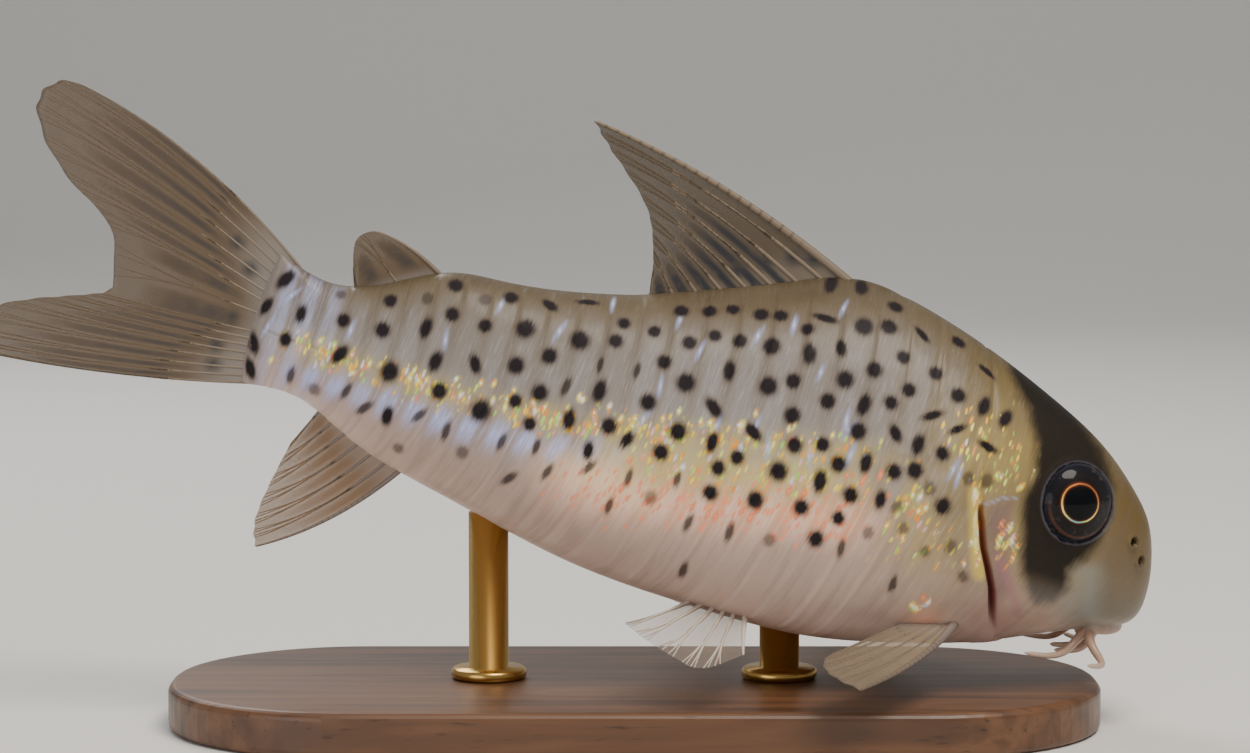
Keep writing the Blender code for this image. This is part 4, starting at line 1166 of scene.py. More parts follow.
shape.from_mesh(fish_skin.data)
print("skin volume", round(shape.calc_volume(signed=True) * 1e9, 1), "mm3")
if shape.calc_volume(signed=True) < 0:
    bmesh.ops.reverse_faces(shape, faces=shape.faces)
    shape.to_mesh(fish_skin.data)
shape.free()
settle(fish_skin, "skin", "head", "trunk", "tail_stem")

# %% [markdown]
# The eye is a flattened ball with a clearer, rounder window in front. A small catfish has a
# black pupil with a thin ring of gold round it, and a dark iris that runs into the mask. The
# colours are rings by distance from the pupil's middle, and the gloss of the clear window is
# a coat, so nothing see-through has to be stacked up.

# %% Eye material
GOLD_RING = 0.85
eye_look, tree, shader, ring, low, rim = new_material("glassy_fish_eye", "ring", "low", "rim")
place = add_node(tree, "ShaderNodeTexCoord").outputs["Object"]
links = {"Vector": place, "Scale": 2600.0, "Detail": 3.0}
grain = add_node(tree, "ShaderNodeTexNoise", links).outputs["Fac"]
wavy = summed(tree, ring, (grain, 0.05), -0.025)
off_gold = add_node(
    tree, "ShaderNodeMath", {0: summed(tree, wavy, -GOLD_RING)}, operation="ABSOLUTE"
).outputs[0]
in_gold = share_of(tree, (off_gold, 0.048, 0.022))
pupil_and_iris = set_stops(
    add_node(tree, "ShaderNodeValToRGB", {"Fac": share_of(tree, wavy, 0.5)}),
    (0.0, "#030407"), (0.41, "#040508"), (0.436, "#2A1710"), (0.47, "#171211"), (0.62, "#1D1919"),
    (0.74, "#17161B"),
)
gold = set_stops(
    add_node(tree, "ShaderNodeValToRGB", {"Fac": low}),
    (0.0, "#A9663A"), (0.3, "#C88A48"), (0.6, "#F2C56A"), (0.8, "#FFEB9A"), (0.93, "#C8DC80"),
    (1.0, "#8FC0BC"),
)
iris = layered(
    tree, pupil_and_iris,
    (share_of(tree, (off_gold, 0.15, 0.04, 0.0, 0.28)), "#8A3A1C"),
    (in_gold, gold),
    (share_of(tree, (rim, 1.2, 1.5, 0.0, 0.6)), "#14161E"),
    (share_of(tree, (low, 0.5, 0.85), (rim, 1.4, 1.5), (rim, 1.6, 1.52), 0.35), "#7A4A30"),
    (share_of(tree, (rim, 1.62, 1.76, 0.0, 0.7)), "#3A3B46"),
    (share_of(tree, (grain, 0.58, 0.7), (ring, 0.95, 1.3, 0.0, 0.25)), "#6B5A46"),
)
feed(tree, shader, {
    "Base Color": iris, "Metallic": share_of(tree, in_gold, 0.5), "Roughness": 0.5,
    "Specular IOR Level": 0.05, "Coat Weight": 0.5, "Coat Roughness": 0.05, "Coat IOR": 1.34,
})
print("eye material:", len(tree.nodes), "nodes")

# %% [markdown]
# Each eyeball is a turned shape, like a bead, laid in its socket with the directions of the
# head at that place. The pupil sits a little toward the tail, as in the photograph.

# %% Eyes
IRIS_STEPS = 64
BALL_RINGS = 57
PUPIL_TAILWARD = 0.2
CORNEA_HEIGHT = 0.16
CORNEA_RADIUS = 1.3


def lathe(profile, steps):
    """Points and faces of a shape turned from (radius, height) pairs, closed at both ends."""
    angles = np.linspace(0, math.tau, steps, endpoint=False)
    rings = [[(r * math.cos(a), r * math.sin(a), h) for a in angles] for r, h in profile[1:-1]]
    points = [(0, 0, profile[0][1])] + [p for ring in rings for p in ring] + [(0, 0, profile[-1][1])]
    made = [(0, 1 + i, 1 + (i + 1) % steps) for i in range(steps)]
    for row in range(len(rings) - 1):
        start = 1 + row * steps
        for i in range(steps):
            j = (i + 1) % steps
            made.append((start + i, start + steps + i, start + steps + j, start + j))
    start, end = 1 + (len(rings) - 1) * steps, len(points) - 1
    made += [(start + (i + 1) % steps, start + i, end) for i in range(steps)]
    return np.array(points, float), made


ball_profile = []
for slope in np.linspace(0, math.pi, BALL_RINGS):
    radius = EYE_RADIUS * math.sin(slope)
    height = EYE_DEPTH * math.cos(slope)
    if slope < math.pi / 2:
        height += CORNEA_HEIGHT * max(0.0, 1 - (radius / CORNEA_RADIUS) ** 2) ** 2
    ball_profile.append((radius, height))
ball, ball_faces = lathe(ball_profile, IRIS_STEPS)
off_pupil = ball[:, :2] - (PUPIL_TAILWARD, 0)
# How far a point of the ball is from the pupil, how low it lies, and how far out it is.
eye_fields = {
    "ring": np.hypot(*off_pupil.T),
    "low": 0.5 - 0.5 * np.sin(np.arctan2(off_pupil[:, 1], off_pupil[:, 0])),
    "rim": np.hypot(ball[:, 0], ball[:, 1]),
}
centre, outward, tailward, upward = head_frame(EYE_ALONG, EYE_UP)
middle = centre - (EYE_DEPTH - EYE_BULGE) * outward
right_ball = middle + ball[:, :1] * tailward + ball[:, 1:2] * upward + ball[:, 2:] * outward
for word in ("right", "left"):
    points = right_ball if word == "right" else to_left(right_ball)
    turned = ball_faces if word == "left" else [face[::-1] for face in ball_faces]
    eye = new_piece("eyeball_" + word, to_world(points), turned, eye_look, eye_fields)
    settle(eye, "eye", "eye_" + word)

# %% [markdown]
# A fin is a thin web on bony rays. Three lines make its surface: the root on the body, the edge
# through the tips, and one half way that bows it. Geometry Nodes lay a grid over them, as a
# quadratic Bezier curve from root to tip at each column. The same few numbers then serve every
# fin, and Solidify gives the web its thickness.

# %% Web of a fin, in Geometry Nodes
WEB_THICKNESS = 0.07


def new_group(name, sockets):
    """An empty geometry tree with named inputs, its input node and its output node."""
    tree = bpy.data.node_groups.new(name, "GeometryNodeTree")
    tree.interface.new_socket("Geometry", in_out="INPUT", socket_type="NodeSocketGeometry")
    tree.interface.new_socket("Geometry", in_out="OUTPUT", socket_type="NodeSocketGeometry")
    for title, kind, value in sockets:
        socket = tree.interface.new_socket(title, in_out="INPUT", socket_type=kind)
        if value is not None:
            socket.default_value = value
    return tree, add_node(tree, "NodeGroupInput").outputs, add_node(tree, "NodeGroupOutput")


def finish_group(tree, geometry, finish, result):
    """The end of a tree: whole geometry, with its material."""
    realized = add_node(tree, "GeometryNodeRealizeInstances", {"Geometry": geometry}).outputs[0]
    links = {"Geometry": realized, "Material": finish}
    feed(tree, result, {0: add_node(tree, "GeometryNodeSetMaterial", links).outputs[0]})
    print(tree.name, "has", len(tree.nodes), "nodes")


def run_group(piece, tree, values):
    """Runs a geometry tree on a piece with its named inputs. Returns the plain mesh it makes."""
    modifier = piece.modifiers.new(tree.name, "NODES")
    modifier.node_group = tree
    for item in tree.interface.items_tree:
        if item.item_type == "SOCKET" and item.in_out == "INPUT" and item.name in values:
            modifier[item.identifier] = values[item.name]
    made = piece.evaluated_get(bpy.context.evaluated_depsgraph_get())
    mesh = bpy.data.meshes.new_from_object(made)
    piece.modifiers.remove(modifier)
    return mesh


sockets = [("Columns", "NodeSocketInt", 60), ("Rows", "NodeSocketInt", 40)]
sockets.append(("Finish", "NodeSocketMaterial", None))
web_tree, given, result = new_group("fin_web", sockets)
links = {"Vertices X": given["Columns"], "Vertices Y": given["Rows"]}
sheet = add_node(web_tree, "GeometryNodeMeshGrid", links)
across, outward, _ = add_node(web_tree, "ShaderNodeSeparateXYZ", {0: sheet.outputs["UV Map"]}).outputs
position = add_node(web_tree, "GeometryNodeInputPosition").outputs[0]
column = share_of(web_tree, across, summed(web_tree, given["Columns"], -1.0))
lines = []
for line in range(3):
    index = summed(web_tree, column, (given["Columns"], float(line)))
    index = add_node(web_tree, "ShaderNodeMath", {0: index}, operation="ROUND").outputs[0]
    links = {"Geometry": given["Geometry"], "Value": position, "Index": index}
    lines.append(add_node(web_tree, "GeometryNodeSampleIndex", links, data_type="FLOAT_VECTOR").outputs[0])
while len(lines) > 1:
    links = [{0: outward, 4: first, 5: second} for first, second in zip(lines, lines[1:])]
    lines = [add_node(web_tree, "ShaderNodeMix", pair, data_type="VECTOR").outputs[1] for pair in links]
links = {"Geometry": sheet.outputs["Mesh"], "Position": lines[0]}
kept = add_node(web_tree, "GeometryNodeSetPosition", links).outputs[0]
for title, value in (("place", across), ("share", outward)):
    links = {"Geometry": kept, "Name": title, "Value": value}
    kept = add_node(
        web_tree, "GeometryNodeStoreNamedAttribute", links, data_type="FLOAT", domain="POINT"
    ).outputs[0]
finish_group(web_tree, kept, given["Finish"], result)

# %% [markdown]
# The rays of a fin are jointed rods that split twice on their way out. Each is a chain of
# points along the web, with a size that tapers, and a second tree turns chains into round
# tubes. The same tree serves the barbels. A branch leaves its neighbour only after the two have
# run as one, so the joint never shows as a gap.

# %% Tubes along chains, in Geometry Nodes
TUBE_SIDES = 7

tube_tree, given, result = new_group(
    "tapered_tubes", [("Sides", "NodeSocketInt", TUBE_SIDES), ("Finish", "NodeSocketMaterial", None)]
)
size = add_node(tube_tree, "GeometryNodeInputNamedAttribute", {"Name": "size"}, data_type="FLOAT")
size = size.outputs[0]
curves = add_node(tube_tree, "GeometryNodeMeshToCurve", {"Mesh": given["Geometry"]})
sized = add_node(tube_tree, "GeometryNodeSetCurveRadius", {"Curve": curves.outputs[0], "Radius": size})
links = {"Resolution": given["Sides"], "Radius": 1.0}
profile = add_node(tube_tree, "GeometryNodeCurvePrimitiveCircle", links)
links = {"Curve": sized.outputs[0], "Profile Curve": profile.outputs[0], "Scale": size, "Fill Caps": True}
tubes = add_node(tube_tree, "GeometryNodeCurveToMesh", links)
even = add_node(tube_tree, "GeometryNodeSetShadeSmooth", {"Geometry": tubes.outputs[0]})
finish_group(tube_tree, even.outputs[0], given["Finish"], result)


def new_tubes(name, chains, finish, sides=TUBE_SIDES):
    """A piece of round tubes. Each chain is its points, its sizes and its shares from root to tip."""
    points, sizes, shares = (np.concatenate(part) for part in zip(*chains))
    edges, start = [], 0
    for chain, _, _ in chains:
        edges += [(start + i, start + i + 1) for i in range(len(chain) - 1)]
        start += len(chain)
    mesh = bpy.data.meshes.new(name)
    mesh.from_pydata([tuple(p) for p in to_world(points)], edges, [])
    keep_fields(mesh, {"size": sizes * MM, "share": shares})
    piece = new_object(name, mesh)
    piece.data = run_group(piece, tube_tree, {"Sides": sides, "Finish": finish})
    return piece


# %% [markdown]
# Web and rays are seen against each other, so they have a finish each. The web is wet skin a
# few hundredths of a millimetre thick: it lets most light through, and what stops it is grey
# pigment lying between the rays. The rays are bone the colour of weak tea, darker at each
# joint. Both take their colours from how far out along the fin a point is.

# %% Fin materials
RAY_JOINTS = 26.0


def fin_web_look(name, colours, streak, alphas, streaks, plain_front=-1.0):
    """A clear web. Its colours and alphas are those of its root and its edge. The streaks are
    stops of their strength from root to edge, and they start behind a plain front."""
    material, tree, shader, outward, between, across, spots = new_material(
        name, "share", "between", "place", "spots"
    )
    lie = add_node(tree, "ShaderNodeAttribute", attribute_name="lie").outputs["Vector"]
    links = {"Vector": lie, "Scale": 2.2, "Detail": 3.0}
    grain = add_node(tree, "ShaderNodeTexNoise", links).outputs["Fac"]
    greys = [(at, "#" + f"{int(255 * value):02X}" * 3) for at, value in streaks]
    strength = set_stops(add_node(tree, "ShaderNodeValToRGB", {"Fac": outward}), *greys)
    behind_front = (across, plain_front - 0.14, plain_front + 0.04)
    dark = share_of(tree, strength, (between, 0.25, 0.95), behind_front, (grain, 0.25, 0.55, 0.6, 1.0))
    links = {0: dark, 1: share_of(tree, spots, 0.9)}
    dark = add_node(tree, "ShaderNodeMath", links, operation="MAXIMUM").outputs[0]
    links = {0: share_of(tree, (outward, 0.0, 0.9, *alphas)), 1: share_of(tree, dark, 0.6)}
    clear = add_node(tree, "ShaderNodeMath", links, operation="ADD", use_clamp=True).outputs[0]
    edge_share = share_of(tree, (outward, 0.08, 0.3))
    feed(tree, shader, {
        "Base Color": layered(tree, colours[0], (edge_share, colours[1]), (dark, streak)), "Alpha": clear,
        "Roughness": 0.32, "Coat Weight": 0.2, "Coat Roughness": 0.15,
    })
    return material


def fin_ray_look(name, base, tip, joint):
    """Jointed bone, from its colour at the root to its colour at the tip."""
    material, tree, shader, outward = new_material(name, "share")
    links = {0: share_of(tree, outward, RAY_JOINTS)}
    joints = add_node(tree, "ShaderNodeMath", links, operation="FRACT").outputs[0]
    line = share_of(tree, (joints, 0.68, 0.86), (outward, 0.2, 0.35, 0.0, 0.7))
    bone = set_stops(add_node(tree, "ShaderNodeValToRGB", {"Fac": outward}), (0.0, base), (0.9, tip))
    feed(tree, shader, {
        "Base Color": layered(tree, bone, (line, joint)), "Roughness": 0.45, "Coat Weight": 0.1,
        "Coat Roughness": 0.3,
    })
    return material


dark_web = fin_web_look(
    "clear_web_with_blue_grey_streaks", ("#776B5B", "#584A38"), "#151A24", (0.94, 0.62),
    ((0.0, 0.2), (0.08, 1.0), (0.45, 0.95), (0.65, 0.45), (0.85, 0.12)), 0.3,
)
tail_web = fin_web_look(
    "clear_web_of_the_tail", ("#877E75", "#665239"), "#191C22", (0.95, 0.62),
    ((0.0, 0.0), (0.18, 0.15), (0.36, 0.85), (0.62, 0.75), (0.85, 0.15)),
)
pale_web = fin_web_look(
    "clear_web_of_the_lower_fins", ("#A08A78", "#927150"), "#634A32", (0.88, 0.5),
    ((0.0, 0.2), (0.25, 0.6), (0.6, 0.5), (1.0, 0.15)),
)
paddle_web = fin_web_look(
    "clear_web_of_the_pectorals", ("#AC9A84", "#9C8A72"), "#6E5E4A", (0.75, 0.42),
    ((0.0, 0.35), (0.5, 0.3), (1.0, 0.1)),
)
thin_web = fin_web_look(
    "clear_web_of_the_pelvics", ("#B8A698", "#A8988A"), "#8A7A6C", (0.42, 0.2), ((0.0, 0.3), (1.0, 0.1))
)
brown_rays = fin_ray_look("tea_brown_fin_ray", "#7D6F5E", "#7C6850", "#4E4130")
lilac_rays = fin_ray_look("lilac_grey_fin_ray", "#857870", "#736455", "#55483C")
cream_rays = fin_ray_look("cream_fin_ray", "#D8CAB8", "#EDE4D8", "#B09C86")
print("five kinds of web and three kinds of ray")

# %% [markdown]
# The fins stand where the photograph has them: the dorsal half folded, the tail spread and
# swung in line with the body, the pectorals held out and back, the pelvics down. Each starts
# from a row of roots sunk in the skin, so no light shows under it. A root line is a function of
# the place from the first ray to the last.

# %% Roots and surfaces of the fins
FIN_GAP = 0.3
ROOT_SINK = 0.85
TAIL_SINK = 0.9


def on_middle(line, lift, first, last):
    """Root line on the middle of the back or belly, at a lift above it, between two alongs."""
    def roots(places):
        along = first + (last - first) * places
        return np.column_stack([along, 0 * along, line(along) + lift])

    return roots


def on_flank(first, last):
    """Root line on the right side between two (along, turn) places."""
    def roots(places):
        along = first[0] + (last[0] - first[0]) * places
        turn = first[1] + (last[1] - first[1]) * places
        return raised_skin(along, turn, np.full(len(places), FIN_GAP - ROOT_SINK)[:, None])

    return roots


def behind_stem(first_up, last_up):
    """Root line down the end of the tail stem."""
    def roots(places):
        up = first_up + (last_up - first_up) * places
        return np.column_stack([np.full(len(places), STEM_END - TAIL_SINK), 0 * up, up])

    return roots


def fin_lines(places, roots, tips, first_bow=(0, 0, 0), last_bow=(0, 0, 0)):
    """Root, middle and tip points of a fin at places from its first ray to its last."""
    root = roots(places)
    tip = natural_cubic(np.linspace(0, 1, len(tips)), tips)(places)
    bow = np.array(first_bow) + np.subtract(last_bow, first_bow) * places[:, None]
    return np.stack([root, 0.5 * (root + tip) + bow, tip])


def lobe_lines(lobes, places):
    """The same for a fin of one lobe or two."""
    places = np.clip(places, 0, 1)
    if len(lobes) == 1:
        return fin_lines(places, **lobes[0])
    halves = [fin_lines(np.clip(2 * places - half, 0, 1), **lobe) for half, lobe in enumerate(lobes)]
    return np.where((places <= 0.5)[None, :, None], *halves)


def bezier(lines, shares):
    """Points on the surface between three lines, at shares of the way out."""
    root, middle, tip = lines
    out = np.asarray(shares)[:, None]
    return (1 - out) ** 2 * root + 2 * out * (1 - out) * middle + out**2 * tip


print("roots are sunk", round(ROOT_SINK - FIN_GAP, 2), "mm in the skin")

# %% [markdown]
# The web dips a little between two rays. It keeps how far a point is from a ray, because the
# pigment lies between them, and where its own few dark spots are.

# %% Webs
WEB_ROWS = 44
WEB_BETWEEN = 6
SCALLOP = 0.01
FIN_SPOTS = {
    "caudal_fin": ((237, 242), (250, 269), (216, 345), (213, 364), (232, 318), (228, 392)),
    "dorsal_fin": ((793, 258), (813, 260), (765, 263), (738, 270)),
}
FIN_SPOT_SIZE = 0.4


def fin_web(name, lobes, spaces, look, side):
    """The web of a fin, as a piece."""
    web_places = np.linspace(0, 1, spaces * WEB_BETWEEN + 1)
    root, middle, tip = lobe_lines(lobes, web_places)
    between = np.sin(math.pi * web_places * spaces) ** 2
    tip = tip - (SCALLOP * between)[:, None] * (tip - middle) * 2
    points = np.concatenate([root, middle, tip])
    if side > 0:
        points = to_left(points)
    web = new_piece(name + "_web", to_world(points), [])
    values = {"Columns": len(web_places), "Rows": WEB_ROWS, "Finish": look}
    web.data = run_group(web, web_tree, values)
    places, shares = np.zeros((2, len(web.data.vertices)), np.float32)
    web.data.attributes["place"].data.foreach_get("value", places)
    web.data.attributes["share"].data.foreach_get("value", shares)
    flat = to_fish([vertex.co for vertex in web.data.vertices])
    spots = np.zeros(len(flat))
    for x, y in FIN_SPOTS.get(name, ()):
        start, way = line_of_sight(x, y)
        hit = start + way * (-start.y / way.y)
        spots = np.maximum(spots, bump(np.linalg.norm(flat - to_fish([hit])[0], axis=1), FIN_SPOT_SIZE))
    keep_fields(web.data, {
        "between": np.sin(math.pi * places * spaces) ** 2, "spots": spots,
        "lie": np.column_stack([places * spaces * 1.5, shares * 4, 0 * shares]),
    })
    thicken = web.modifiers.new("thickness", "SOLIDIFY")
    thicken.thickness = WEB_THICKNESS * MM
    thicken.offset = 0
    made = bpy.data.meshes.new_from_object(web.evaluated_get(bpy.context.evaluated_depsgraph_get()))
    web.modifiers.remove(thicken)
    web.data = made
    web.data.shade_smooth()
    return web


print("a web has", WEB_BETWEEN, "columns between two rays")

# %% [markdown]
# The first ray of most fins is a stout spine. The others fork into two and then into four. A
# chain that branches off starts a little before its fork, inside its neighbour.

# %% Rays
RAY_POINTS = 48
RAY_END = 0.99
FORKS = (0.34, 0.6)
FORK_SPREADS = (0.23, 0.11)
# A little past the tip, so a fork is still opening there.
FORK_END = 1.15
# Radius of a ray at its foot, and how much thinner it is at its tip.
RAY_FOOT = 0.115
RAY_TAPER = 0.085


def fin_rays(name, lobes, spaces, spine, look, side, thick):
    """The rays of a fin, as a piece. spine is how stout the first one is, or 0 for a forked one."""
    wide, narrow = FORK_SPREADS
    forked = [(first + second, first) for first in (-wide, wide) for second in (-narrow, narrow)]
    # Of the four chains one runs from the root, and the others leave it at a fork.
    starts = (0.0, FORKS[1], FORKS[0], FORKS[0])
    chains = []
    for ray in range(spaces + 1):
        plain = ray == 0 and spine
        for order, (end, first) in enumerate([(0.0, 0.0)] if plain else forked):
            shares = np.linspace(0, RAY_END, RAY_POINTS)
            split = smooth(shares, FORKS[0], FORK_END) * first
            split += smooth(shares, FORKS[1], FORK_END) * (end - first)
            kept = shares >= starts[order] - 0.03
            place = np.clip((ray + split[kept]) / spaces, 0, 1)
            chain = bezier(lobe_lines(lobes, place), shares[kept])
            if side > 0:
                chain = to_left(chain)
            radius = thick * (spine if plain else 1.0) * (RAY_FOOT - RAY_TAPER * shares[kept] ** 0.7)
            radius *= 1 - 0.25 * smooth(shares[kept], FORKS[0], FORKS[0] + 0.05) * (not plain)
            chains.append((chain, radius, shares[kept]))
    return new_tubes(name + "_rays", chains, look)


print("rays fork at", FORKS, "of their length")

# %% [markdown]
# Each fin is then a few lines: where its roots run, where its tips are, and how it bows. Tips
# are in the fish's millimetres, in the order of the rays.

# %% Fins
upper_lobe = dict(
    roots=behind_stem(2.65, -0.12), first_bow=(0, 0, 1.6),
    tips=(
        (52.5, 0, 7.7), (53.15, 0, 7.7), (53.75, 0, 7.38), (54.12, 0, 6.8), (54.1, 0, 6.1), (53.55, 0, 5.1),
        (52.6, 0, 4.1), (51.3, 0, 3.15), (49.95, 0, 2.4), (49.05, 0, 1.2), (48.65, 0, -0.6),
    ),
)
lower_lobe = dict(
    roots=behind_stem(-0.42, -2.7), last_bow=(0, 0, -0.75),
    tips=((48.8, 0, -0.92), (50.8, 0, -1.7), (53.2, 0, -2.8), (54.9, 0, -4.4), (54.4, 0, -5.2)),
)
dorsal = dict(
    roots=on_middle(back, FIN_GAP - ROOT_SINK, 15.9, 25.2), first_bow=(-0.2, 0, 1.25), last_bow=(0.1, 0, 0),
    tips=((30.1, 0, 12.85), (28.9, 0, 11.75), (26.95, 0, 10.1), (26.05, 0, 8.6), (25.6, 0, 7.3)),
)
adipose = dict(
    roots=on_middle(back, FIN_GAP - ROOT_SINK, 34.2, 38.0), first_bow=(-0.1, 0, 0.55),
    tips=((37.95, 0, 5.27), (38.4, 0, 5.1), (38.68, 0, 4.75), (38.74, 0, 4.3), (38.5, 0, 3.4)),
)
anal = dict(
    roots=on_middle(belly, ROOT_SINK - FIN_GAP, 33.6, 37.9), first_bow=(-0.5, 0, -0.9),
    tips=((39.15, 0, -10.0), (39.5, 0, -8.8), (39.3, 0, -6.9), (38.95, 0, -5.1)),
)
pelvic = dict(
    roots=on_flank((17.3, 0.885), (19.3, 0.9)), first_bow=(0, 0, -0.3), last_bow=(0, 0, -0.3),
    tips=(
        (17.2, -7.6, -7.1), (18.7, -8.6, -8.0), (19.9, -8.5, -8.0), (21.4, -7.6, -7.7), (22.4, -6.2, -7.5),
    ),
)
pectoral = dict(
    roots=on_flank((8.1, 0.8), (9.7, 0.8)), first_bow=(-0.9, 0.1, -0.2), last_bow=(0.2, 0, 0),
    tips=((12.4, -11.6, -6.5), (13.7, -10.5, -6.4), (13.9, -8.7, -6.1), (12.9, -7.0, -5.6)),
)
# Lobes, number of rays, how stout the spine is, finishes of web and rays, side, and thickness.
PLANS = {
    "dorsal_fin": ([dorsal], 9, 2.0, dark_web, brown_rays, -1, 1.1),
    "adipose_fin": ([adipose], 3, 1.5, tail_web, brown_rays, -1, 0.8),
    "anal_fin": ([anal], 7, 1.4, pale_web, lilac_rays, -1, 0.9),
    "caudal_fin": ([upper_lobe, lower_lobe], 16, 0, tail_web, brown_rays, -1, 0.68),
    "pelvic_fin_right": ([pelvic], 6, 1.3, thin_web, cream_rays, -1, 1.15),
    "pectoral_fin_right": ([pectoral], 7, 2.4, paddle_web, lilac_rays, -1, 0.9),
    "pelvic_fin_left": ([pelvic], 6, 1.3, thin_web, cream_rays, 1, 1.15),
    "pectoral_fin_left": ([pectoral], 7, 2.4, paddle_web, lilac_rays, 1, 0.9),
}
for name, (lobes, rays, spine, web_look, ray_look, side, thick) in PLANS.items():
    web = fin_web(name, lobes, rays - 1, web_look, side)
    bones = fin_rays(name, lobes, rays - 1, spine, ray_look, side, thick)
    settle(web, "fin", *([name + "_upper", name + "_lower"] if len(lobes) == 2 else [name]))
    settle(bones, "fin")

# %% [markdown]
# Three pairs of barbels hang round the mouth: two at each corner and a short pair under the
# lower lip. They taper, and their feet start inside the fleshy knob that carries them. Barbel
# skin is soft and lets some light in, so it is paler than the head, wetter and smooth.

# %% Barbels
BARBEL_FOOT = 0.26
BARBEL_TIP = 0.1
BARBEL_SIDES = 16
BARBEL_POINTS = 40
# How far to the side each starts, and the points it runs through, measured from there.
BARBELS = {
    "upper": (1.5, ((-0.15, -0.7, -0.6), (-0.6, -1.35, -1.05), (-0.6, -2.15, -1.25), (0.1, -3.05, -1.3))),
    "lower": (1.5, ((0.45, -0.3, -0.65), (0.85, -0.75, -1.25), (1.6, -1.3, -1.6), (2.7, -1.6, -1.75))),
    "chin": (0.5, ((0.15, -0.05, -0.68), (0.4, -0.15, -1.1), (0.9, -0.25, -1.35), (1.5, -0.3, -1.5))),
}

barbel_look, tree, shader, outward = new_material("soft_translucent_barbel_skin", "share")
colour = set_stops(
    add_node(tree, "ShaderNodeValToRGB", {"Fac": outward}),
    (0.0, "#A5836F"), (0.5, "#B5957F"), (1.0, "#CBB09C"),
)
feed(tree, shader, {"Base Color": colour, "Roughness": 0.4, "Coat Weight": 0.4, "Coat Roughness": 0.12})
places = np.linspace(0, 1, BARBEL_POINTS)
radius = BARBEL_FOOT + (BARBEL_TIP - BARBEL_FOOT) * places**0.8
radius *= 1 - smooth(places, 0.93, 1.02) * 0.7
for kind, (start_side, offsets) in BARBELS.items():
    along = LOWER_LIP_FRONT + (MOUTH_CORNER - LOWER_LIP_FRONT) * (start_side / MOUTH_HALF_WIDTH) ** 2
    start = np.array([along, -start_side, float(under_at(along, start_side))])
    route = np.concatenate([[start], start + np.array(offsets)])
    chain = natural_cubic(np.linspace(0, 1, len(route)), route)(places)
    for word in ("right", "left"):
        points = chain if word == "right" else to_left(chain)
        chains = [(points, radius, places)]
        barbel = new_tubes(f"barbel_{kind}_{word}", chains, barbel_look, BARBEL_SIDES)
        settle(barbel, "skin", f"barbel_{kind}_{word}")

# %% [markdown]
# The stand is a plain one: an oval walnut base with eased edges and two thin brass rods up to
# the belly, each with a small collar where it leaves the wood. Grain is a noise stretched along
# the base, with pores as a finer one over it. Oil leaves walnut with a low sheen. Brass that is
# rubbed satin keeps the metal's own index, and its highlights are soft.

# %% Finishes of the stand
walnut, tree, shader = new_material("oiled_walnut")
place = add_node(tree, "ShaderNodeTexCoord").outputs["Object"]
# The figure of the wood is 17 mm long and 1.1 mm wide, and a pore is 2 mm long and 0.14 mm wide.
coarse, fine = (
    add_node(tree, "ShaderNodeMapping", {"Vector": place, "Scale": scale}).outputs[0]
    for scale in ((60.0, 900.0, 500.0), (500.0, 7000.0, 4000.0))
)
links = {"Vector": coarse, "Scale": 1.0, "Detail": 6.0, "Distortion": 0.6}
grain = add_node(tree, "ShaderNodeTexNoise", links).outputs["Fac"]
pores = add_node(tree, "ShaderNodeTexNoise", {"Vector": fine, "Scale": 1.0, "Detail": 2.0}).outputs["Fac"]
wood = set_stops(
    add_node(tree, "ShaderNodeValToRGB", {"Fac": grain}),
    (0.25, "#3B2618"), (0.45, "#5B3C26"), (0.6, "#6F4B30"), (0.8, "#4A2F1E"),
)
wood = layered(tree, wood, (share_of(tree, (pores, 0.62, 0.74, 0.0, 0.6)), "#24160E"))
feed(tree, shader, {"Base Color": wood, "Roughness": 0.42, "Coat Weight": 0.15, "Coat Roughness": 0.25})
brass, tree, shader = new_material("satin_brass")
feed(tree, shader, {"Base Color": "#C9A25A", "Metallic": 1.0, "Roughness": 0.27})
print("stand finishes:", walnut.name, brass.name)

# %% [markdown]
# The base is its outline drawn as one face, raised, with its level edges bevelled. A rod is
# turned like the eyeball, with the collar as part of its profile.

# %% Stand
BASE_SIZE = (42.0, 18.0, 2.0)
BASE_CORNER = 8.4
BASE_EASE = 0.35
CORNER_STEPS = 16
ROD_RADIUS = 0.9
ROD_ALONGS = {"stand_rod_front": 15.4, "stand_rod_rear": 29.4}
ROD_INTO_BELLY = 0.35
ROD_STEPS = 40
COLLAR_RADIUS = 1.7
COLLAR_HEIGHT = 0.5
COLLAR_EASE = 0.12

shape = bmesh.new()
outline = []
for corner_x, corner_y, start in ((1, 1, 0), (-1, 1, 90), (-1, -1, 180), (1, -1, 270)):
    for step in range(CORNER_STEPS + 1):
        angle = math.radians(start + 90 * step / CORNER_STEPS)
        x = corner_x * (BASE_SIZE[0] / 2 - BASE_CORNER) + BASE_CORNER * math.cos(angle)
        y = corner_y * (BASE_SIZE[1] / 2 - BASE_CORNER) + BASE_CORNER * math.sin(angle)
        outline.append(shape.verts.new((x * MM, y * MM, 0)))
face = shape.faces.new(outline)
raised = bmesh.ops.extrude_face_region(shape, geom=[face])["geom"]
top_corners = [part for part in raised if isinstance(part, bmesh.types.BMVert)]
bmesh.ops.translate(shape, verts=top_corners, vec=(0, 0, BASE_SIZE[2] * MM))
bmesh.ops.recalc_face_normals(shape, faces=shape.faces)
level_edges = [edge for edge in shape.edges if abs(edge.verts[0].co.z - edge.verts[1].co.z) < 1e-7]
bmesh.ops.bevel(shape, geom=level_edges, offset=BASE_EASE * MM, segments=4, profile=0.5, affect="EDGES")
base_mesh = bpy.data.meshes.new("walnut_base")
shape.to_mesh(base_mesh)
shape.free()
base_mesh.materials.append(walnut)
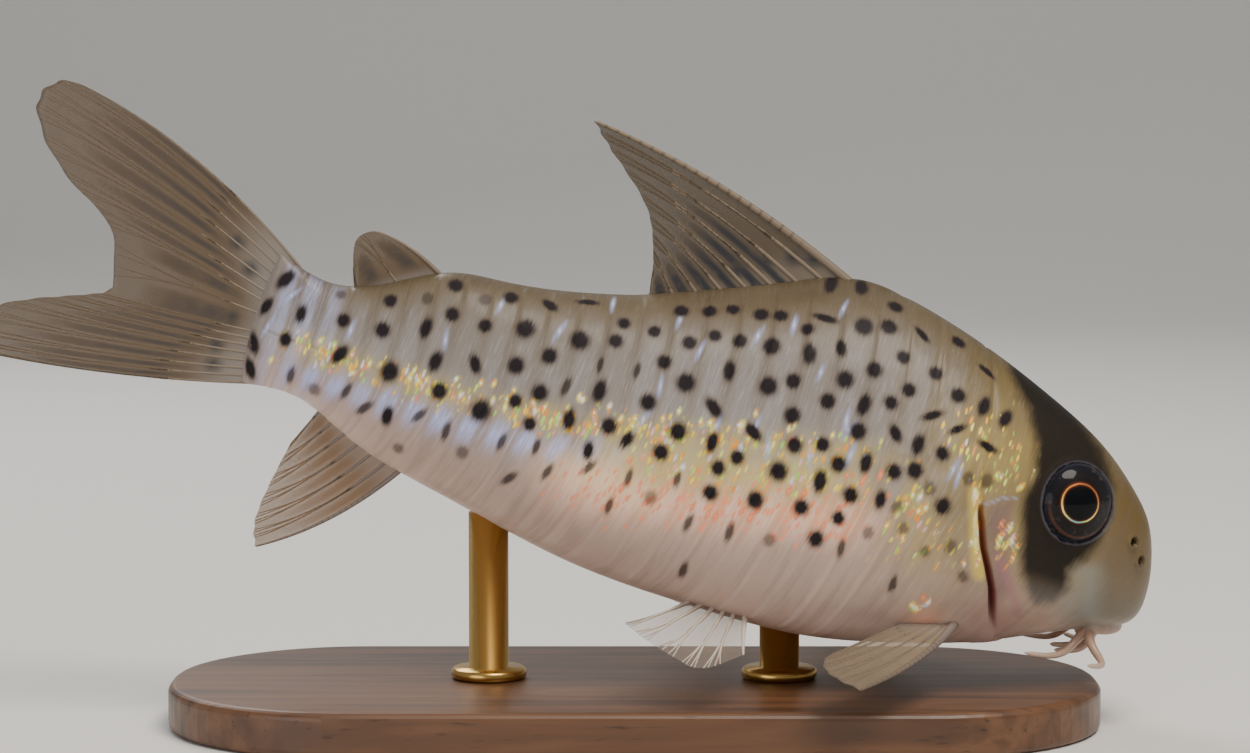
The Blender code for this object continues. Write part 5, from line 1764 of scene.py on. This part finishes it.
settle(new_object("walnut_base", base_mesh), "stand_wood", "stand_base")

for node, along in ROD_ALONGS.items():
    foot = BASE_SIZE[2]
    collar_top = foot + COLLAR_HEIGHT
    top = to_world([(along, 0, float(belly(along)))])[0] / MM
    rod_top = top[2] + ROD_INTO_BELLY
    rod_profile = [
        (0, foot), (COLLAR_RADIUS - COLLAR_EASE, foot), (COLLAR_RADIUS, foot + COLLAR_EASE),
        (COLLAR_RADIUS, collar_top - COLLAR_EASE), (COLLAR_RADIUS - COLLAR_EASE, collar_top),
        (ROD_RADIUS, collar_top + 0.02), (ROD_RADIUS, rod_top), (0, rod_top),
    ]
    points, made = lathe(rod_profile, ROD_STEPS)
    points[:, 0] += top[0]
    rod = new_piece(node.replace("stand", "brass"), points * MM, made, brass)
    settle(rod, "stand_brass", node)

# %% [markdown]
# A pale floor that curves up into a pale wall, and three large soft lamps: the main one high on
# the near left, a weaker one on the right, and one from behind and above for the outline of the
# back. Their sizes follow from the five centimetres of the fish.

# %% Floor and light
FLOOR_WIDTH = 1.6
FLOOR_NEAR = -0.5
WALL_START = 0.25
WALL_CURVE = 0.2
WALL_TOP = 0.8
WALL_STEPS = 16
AIM = Vector((0, 0, 0.014))
# Place, width and power in metres and watts, and colour.
LAMPS = {
    "key": ((0.07, -0.1, 0.24), 0.14, 0.66, "#FFF6EA"),
    "fill": ((-0.16, -0.22, 0.03), 0.2, 0.24, "#F3F2F6"),
    "rim": ((-0.08, 0.16, 0.16), 0.12, 0.2, "#FFFFFF"),
}

profile = [(FLOOR_NEAR, 0.0), (WALL_START, 0.0)]
for angle in np.linspace(0, math.pi / 2, WALL_STEPS + 1)[1:]:
    profile.append((WALL_START + WALL_CURVE * math.sin(angle), WALL_CURVE * (1 - math.cos(angle))))
profile.append((WALL_START + WALL_CURVE, WALL_TOP))
points = [(x, y, z) for y, z in profile for x in (-FLOOR_WIDTH / 2, FLOOR_WIDTH / 2)]
faces = [(2 * i, 2 * i + 1, 2 * i + 3, 2 * i + 2) for i in range(len(profile) - 1)]
paper, tree, shader = new_material("matt_studio_paper")
feed(tree, shader, {"Base Color": "#E4E2DE", "Roughness": 0.9})
backdrop = new_piece("backdrop", points, faces, paper)

world = bpy.data.worlds.new("studio")
world.use_nodes = True
feed(world.node_tree, world.node_tree.nodes["Background"], {"Color": "#E8ECF0", "Strength": 0.38})
bpy.context.scene.world = world
for name, (place, size, power, colour) in LAMPS.items():
    lamp_data = bpy.data.lights.new(name, "AREA")
    lamp_data.shape = "DISK"
    lamp_data.size = size
    lamp_data.energy = power
    lamp_data.color = srgb(colour)[:3]
    lamp = new_object(name, lamp_data)
    lamp.location = place
    lamp.rotation_euler = (AIM - lamp.location).to_track_quat("-Z", "Y").to_euler()
print("lamps:", *LAMPS)
